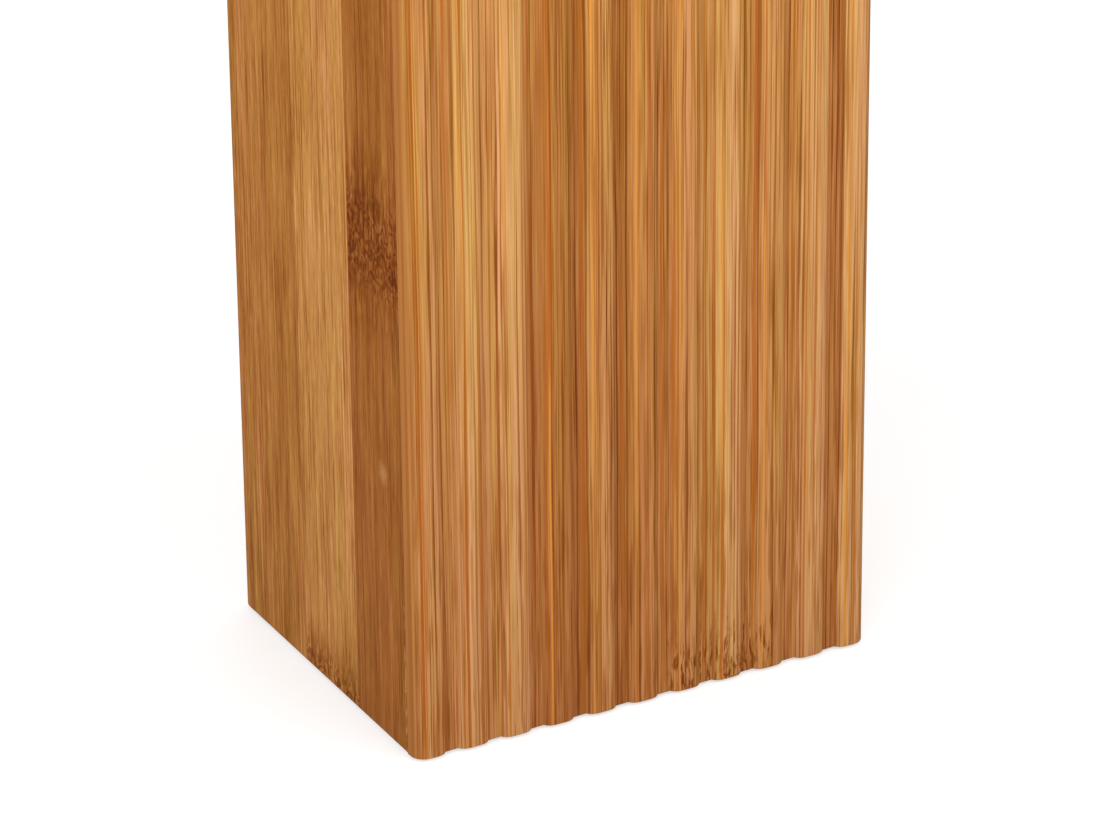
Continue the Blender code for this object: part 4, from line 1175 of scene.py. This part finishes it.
def makeNut():
    rim, bottom, top = spanOf("collar_nut")
    bore, edge, hole, wall = pick(collar, "nutBore nutEdge hole nutCeiling")
    ceiling = top - wall
    outline = [(bore, bottom), (rim, bottom)]
    outline += arc((rim - edge, top - edge), edge, 0, 90, 5)
    outline += [(hole, top), (hole, ceiling), (bore, ceiling)]
    obj = turnPiece("threaded_nut", outline)
    addThread(obj, collar["threadRadius"], bottom + collar["threadFoot"])
    finishPiece(obj, "collar", "pump_plastic", "collar_nut")


def makeCover():
    rim, bottom, top = spanOf("collar_cover")
    wall, edge, hole, foot, lip = pick(collar, "coverWall coverEdge hole footEdge holeEdge")
    depth, slope, height = collar["groove"]
    roll = bottom + collar["rollHeight"]
    inner = edge - wall
    outline = [(rim - wall, bottom), (rim - foot, bottom), (rim, bottom + foot), (rim, roll)]
    outline += [(rim - depth, roll + slope), (rim - depth, roll + height - slope), (rim, roll + height)]
    outline += arc((rim - edge, top - edge), edge, 0, 90, 10)
    outline += [(hole + lip, top), (hole, top - lip), (hole, top - wall)]
    outline += arc((rim - wall - inner, top - wall - inner), inner, 90, 0, 6)
    obj = turnPiece("collar_shell", outline, 128, edge=0.0)
    finishPiece(obj, "collar", "satin_steel", "collar_cover", angle=30)


makeNut()
makeCover()
print("collar made")


# Stem and piston

stem = {
    "bore": 1.5,
    "radius": 3.2,
    "edge": 0.2,
    "footRise": 2.5,        # from the stem's end to its foot's flange
    "footThick": 1.2,
}


def makeStem():
    foot, bottom, top = spanOf("piston_stem")
    bore, radius, edge, rise, thick = pick(stem, "bore radius edge footRise footThick")
    flange = bottom + rise
    over = flange + thick
    outline = [(bore, bottom), (radius - edge, bottom), (radius, bottom + edge), (radius, flange)]
    outline += [(foot, flange), (foot, over), (radius, over)]
    outline += [(radius, top - edge), (radius - edge, top), (bore, top)]
    obj = turnPiece("hollow_stem", outline, 64, edge=0.06)
    finishPiece(obj, "stem", "pump_plastic", "piston_stem")


seal = {
    "bore": 3.5,
    "waist": 0.7,           # in from the lips
    "lipEdge": 0.3,
    "lipHeight": 0.9,
    "lipSlope": 1.0,
}


def makeSeal():
    lip, bottom, top = spanOf("piston_seal")
    bore, waist, edge, height, slope = pick(seal, "bore waist lipEdge lipHeight lipSlope")
    half = [(bore, 0.0), (lip - edge, 0.0), (lip, edge), (lip, height), (lip - waist, height + slope)]
    outline = [(radius, bottom + rise) for radius, rise in half]
    outline += [(radius, top - rise) for radius, rise in reversed(half)]
    obj = turnPiece("piston_cup", outline, 64, edge=0.08)
    finishPiece(obj, "stem", "pump_plastic", "piston_seal")


makeStem()
makeSeal()
print("stem made")


# Head and spout

headPiece = {
    "wall": 0.8,
    "edge": 1.8,
    "footEdge": 0.2,
    "crown": 0.5,
    "crownSteps": 5,
    "spoutHole": 3.9,
    "sleeveWall": 0.9,
}

spoutPiece = {
    "radius": 3.6,
    "wall": 0.7,
    "edge": 0.12,
    "bendRadius": 11.0,
    "bendAngle": 70.0,
    "endLength": 5.0,
    "bendSteps": 28,
    "tipRim": 1.0,
    "tipGap": 0.3,
    "tipWall": 1.0,
    "tipEdge": 0.3,
    "tipPlay": 0.3,         # between the tip's plug and the tube
}


def spoutLevel():       # height of the spout's middle
    return (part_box("spout_tube")[1].z / mm - spoutPiece["radius"]) * mm


def makeHeadCap():
    rim, bottom, top = spanOf("head_cap")
    wall, edge, foot, crown, steps = pick(headPiece, "wall edge footEdge crown crownSteps")
    shoulder = top - crown
    flat = rim - edge
    inner = edge - wall
    ceiling = shoulder - wall
    outline = arc((rim - wall - inner, ceiling - inner), inner, 90, 0, 5)
    outline += [(rim - wall, bottom), (rim - foot, bottom), (rim, bottom + foot)]
    outline += arc((flat, shoulder - edge), edge, 0, 90, 10)
    for step in range(1, steps):        # the crown's low dome
        share = 1 - step / steps
        outline.append((flat * share, top - crown * share ** 2))
    outline.append((0.0, top))
    obj = turnPiece("press_head", outline, 128, ring=False, edge=0.0)
    drillHole(obj, 64, headPiece["spoutHole"] * mm, 0.010, (0.0, -rim * mm, spoutLevel()), alongY)
    finishPiece(obj, "head", "satin_steel", "head_cap", angle=30)


def makeSleeve():
    rim, bottom, top = spanOf("stem_sleeve")
    bore, edge = rim - headPiece["sleeveWall"], headPiece["footEdge"]
    outline = [(bore, bottom), (rim - edge, bottom), (rim, bottom + edge), (rim, top), (bore, top)]
    obj = turnPiece("steel_sleeve", outline, edge=0.05)
    finishPiece(obj, "head", "satin_steel", "stem_sleeve", angle=30)


def spoutLine():        # the way that the spout points at its end, and the middle of that end
    radius, bend, length, gap, rim = pick(spoutPiece, "radius bendRadius endLength tipGap tipRim")
    angle = math.radians(spoutPiece["bendAngle"])
    way = Vector((0.0, -math.cos(angle), -math.sin(angle)))
    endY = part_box("spout_tip")[0].y + radius * mm * math.sin(angle) - way.y * (gap + rim) * mm
    endZ = spoutLevel() - bend * mm * (1 - math.cos(angle)) + way.z * length * mm
    return way, Vector((0.0, endY, endZ))


def makeSpout():
    start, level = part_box("spout_tube")[1].y, spoutLevel()
    way, end = spoutLine()
    radius, bend, length, steps = pick(spoutPiece, "radius bendRadius endLength bendSteps")
    angle = math.radians(spoutPiece["bendAngle"])
    bendStart = end.y - way.y * length * mm + bend * mm * math.sin(angle)
    obj = startCircle("spout_pipe", 64, radius * mm, (0.0, start, level), alongY)
    drawOut((0.0, bendStart - start, 0.0))
    bpy.ops.mesh.spin(steps=steps, angle=angle, center=(0.0, bendStart, level - bend * mm),
                      axis=(-1.0, 0.0, 0.0))
    drawOut(way * length * mm)
    tidyMesh(obj)
    thicken(obj, spoutPiece["wall"])
    easeEdges(obj, spoutPiece["edge"], 60)
    finishPiece(obj, "head", "satin_steel", "spout_tube", brushedSteel("steel brushed along", True), 30)


def makeTip():
    radius, wall, length = pick(spoutPiece, "radius wall endLength")
    gap, edge, rim, play, tipWall = pick(spoutPiece, "tipGap tipEdge tipRim tipPlay tipWall")
    face = gap + rim
    plug = radius - wall - play
    bore = plug - tipWall
    outline = [(bore, -length), (plug, -length), (plug, gap), (radius, gap)]
    outline += arc((radius - edge, face - edge), edge, 0, 90, 4)
    outline += [(bore + edge, face), (bore, face - edge)]
    obj = turnPiece("spout_nozzle", outline, 64, edge=0.0)
    way, end = spoutLine()
    obj.rotation_euler = way.to_track_quat("Z", "Y").to_euler()
    obj.location = end
    selectOnly(obj)
    bpy.ops.object.transform_apply(location=True, rotation=True, scale=True)
    finishPiece(obj, "head", "pump_plastic", "spout_tip")


def dressHeadCore():        # the plastic core keeps its exact solid and gets the plastic's finish
    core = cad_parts["head_core"]
    core.data.materials.clear()
    core.data.materials.append(finishes["pump_plastic"])


makeHeadCap()
makeSleeve()
makeSpout()
makeTip()
dressHeadCore()
print("head and spout made")
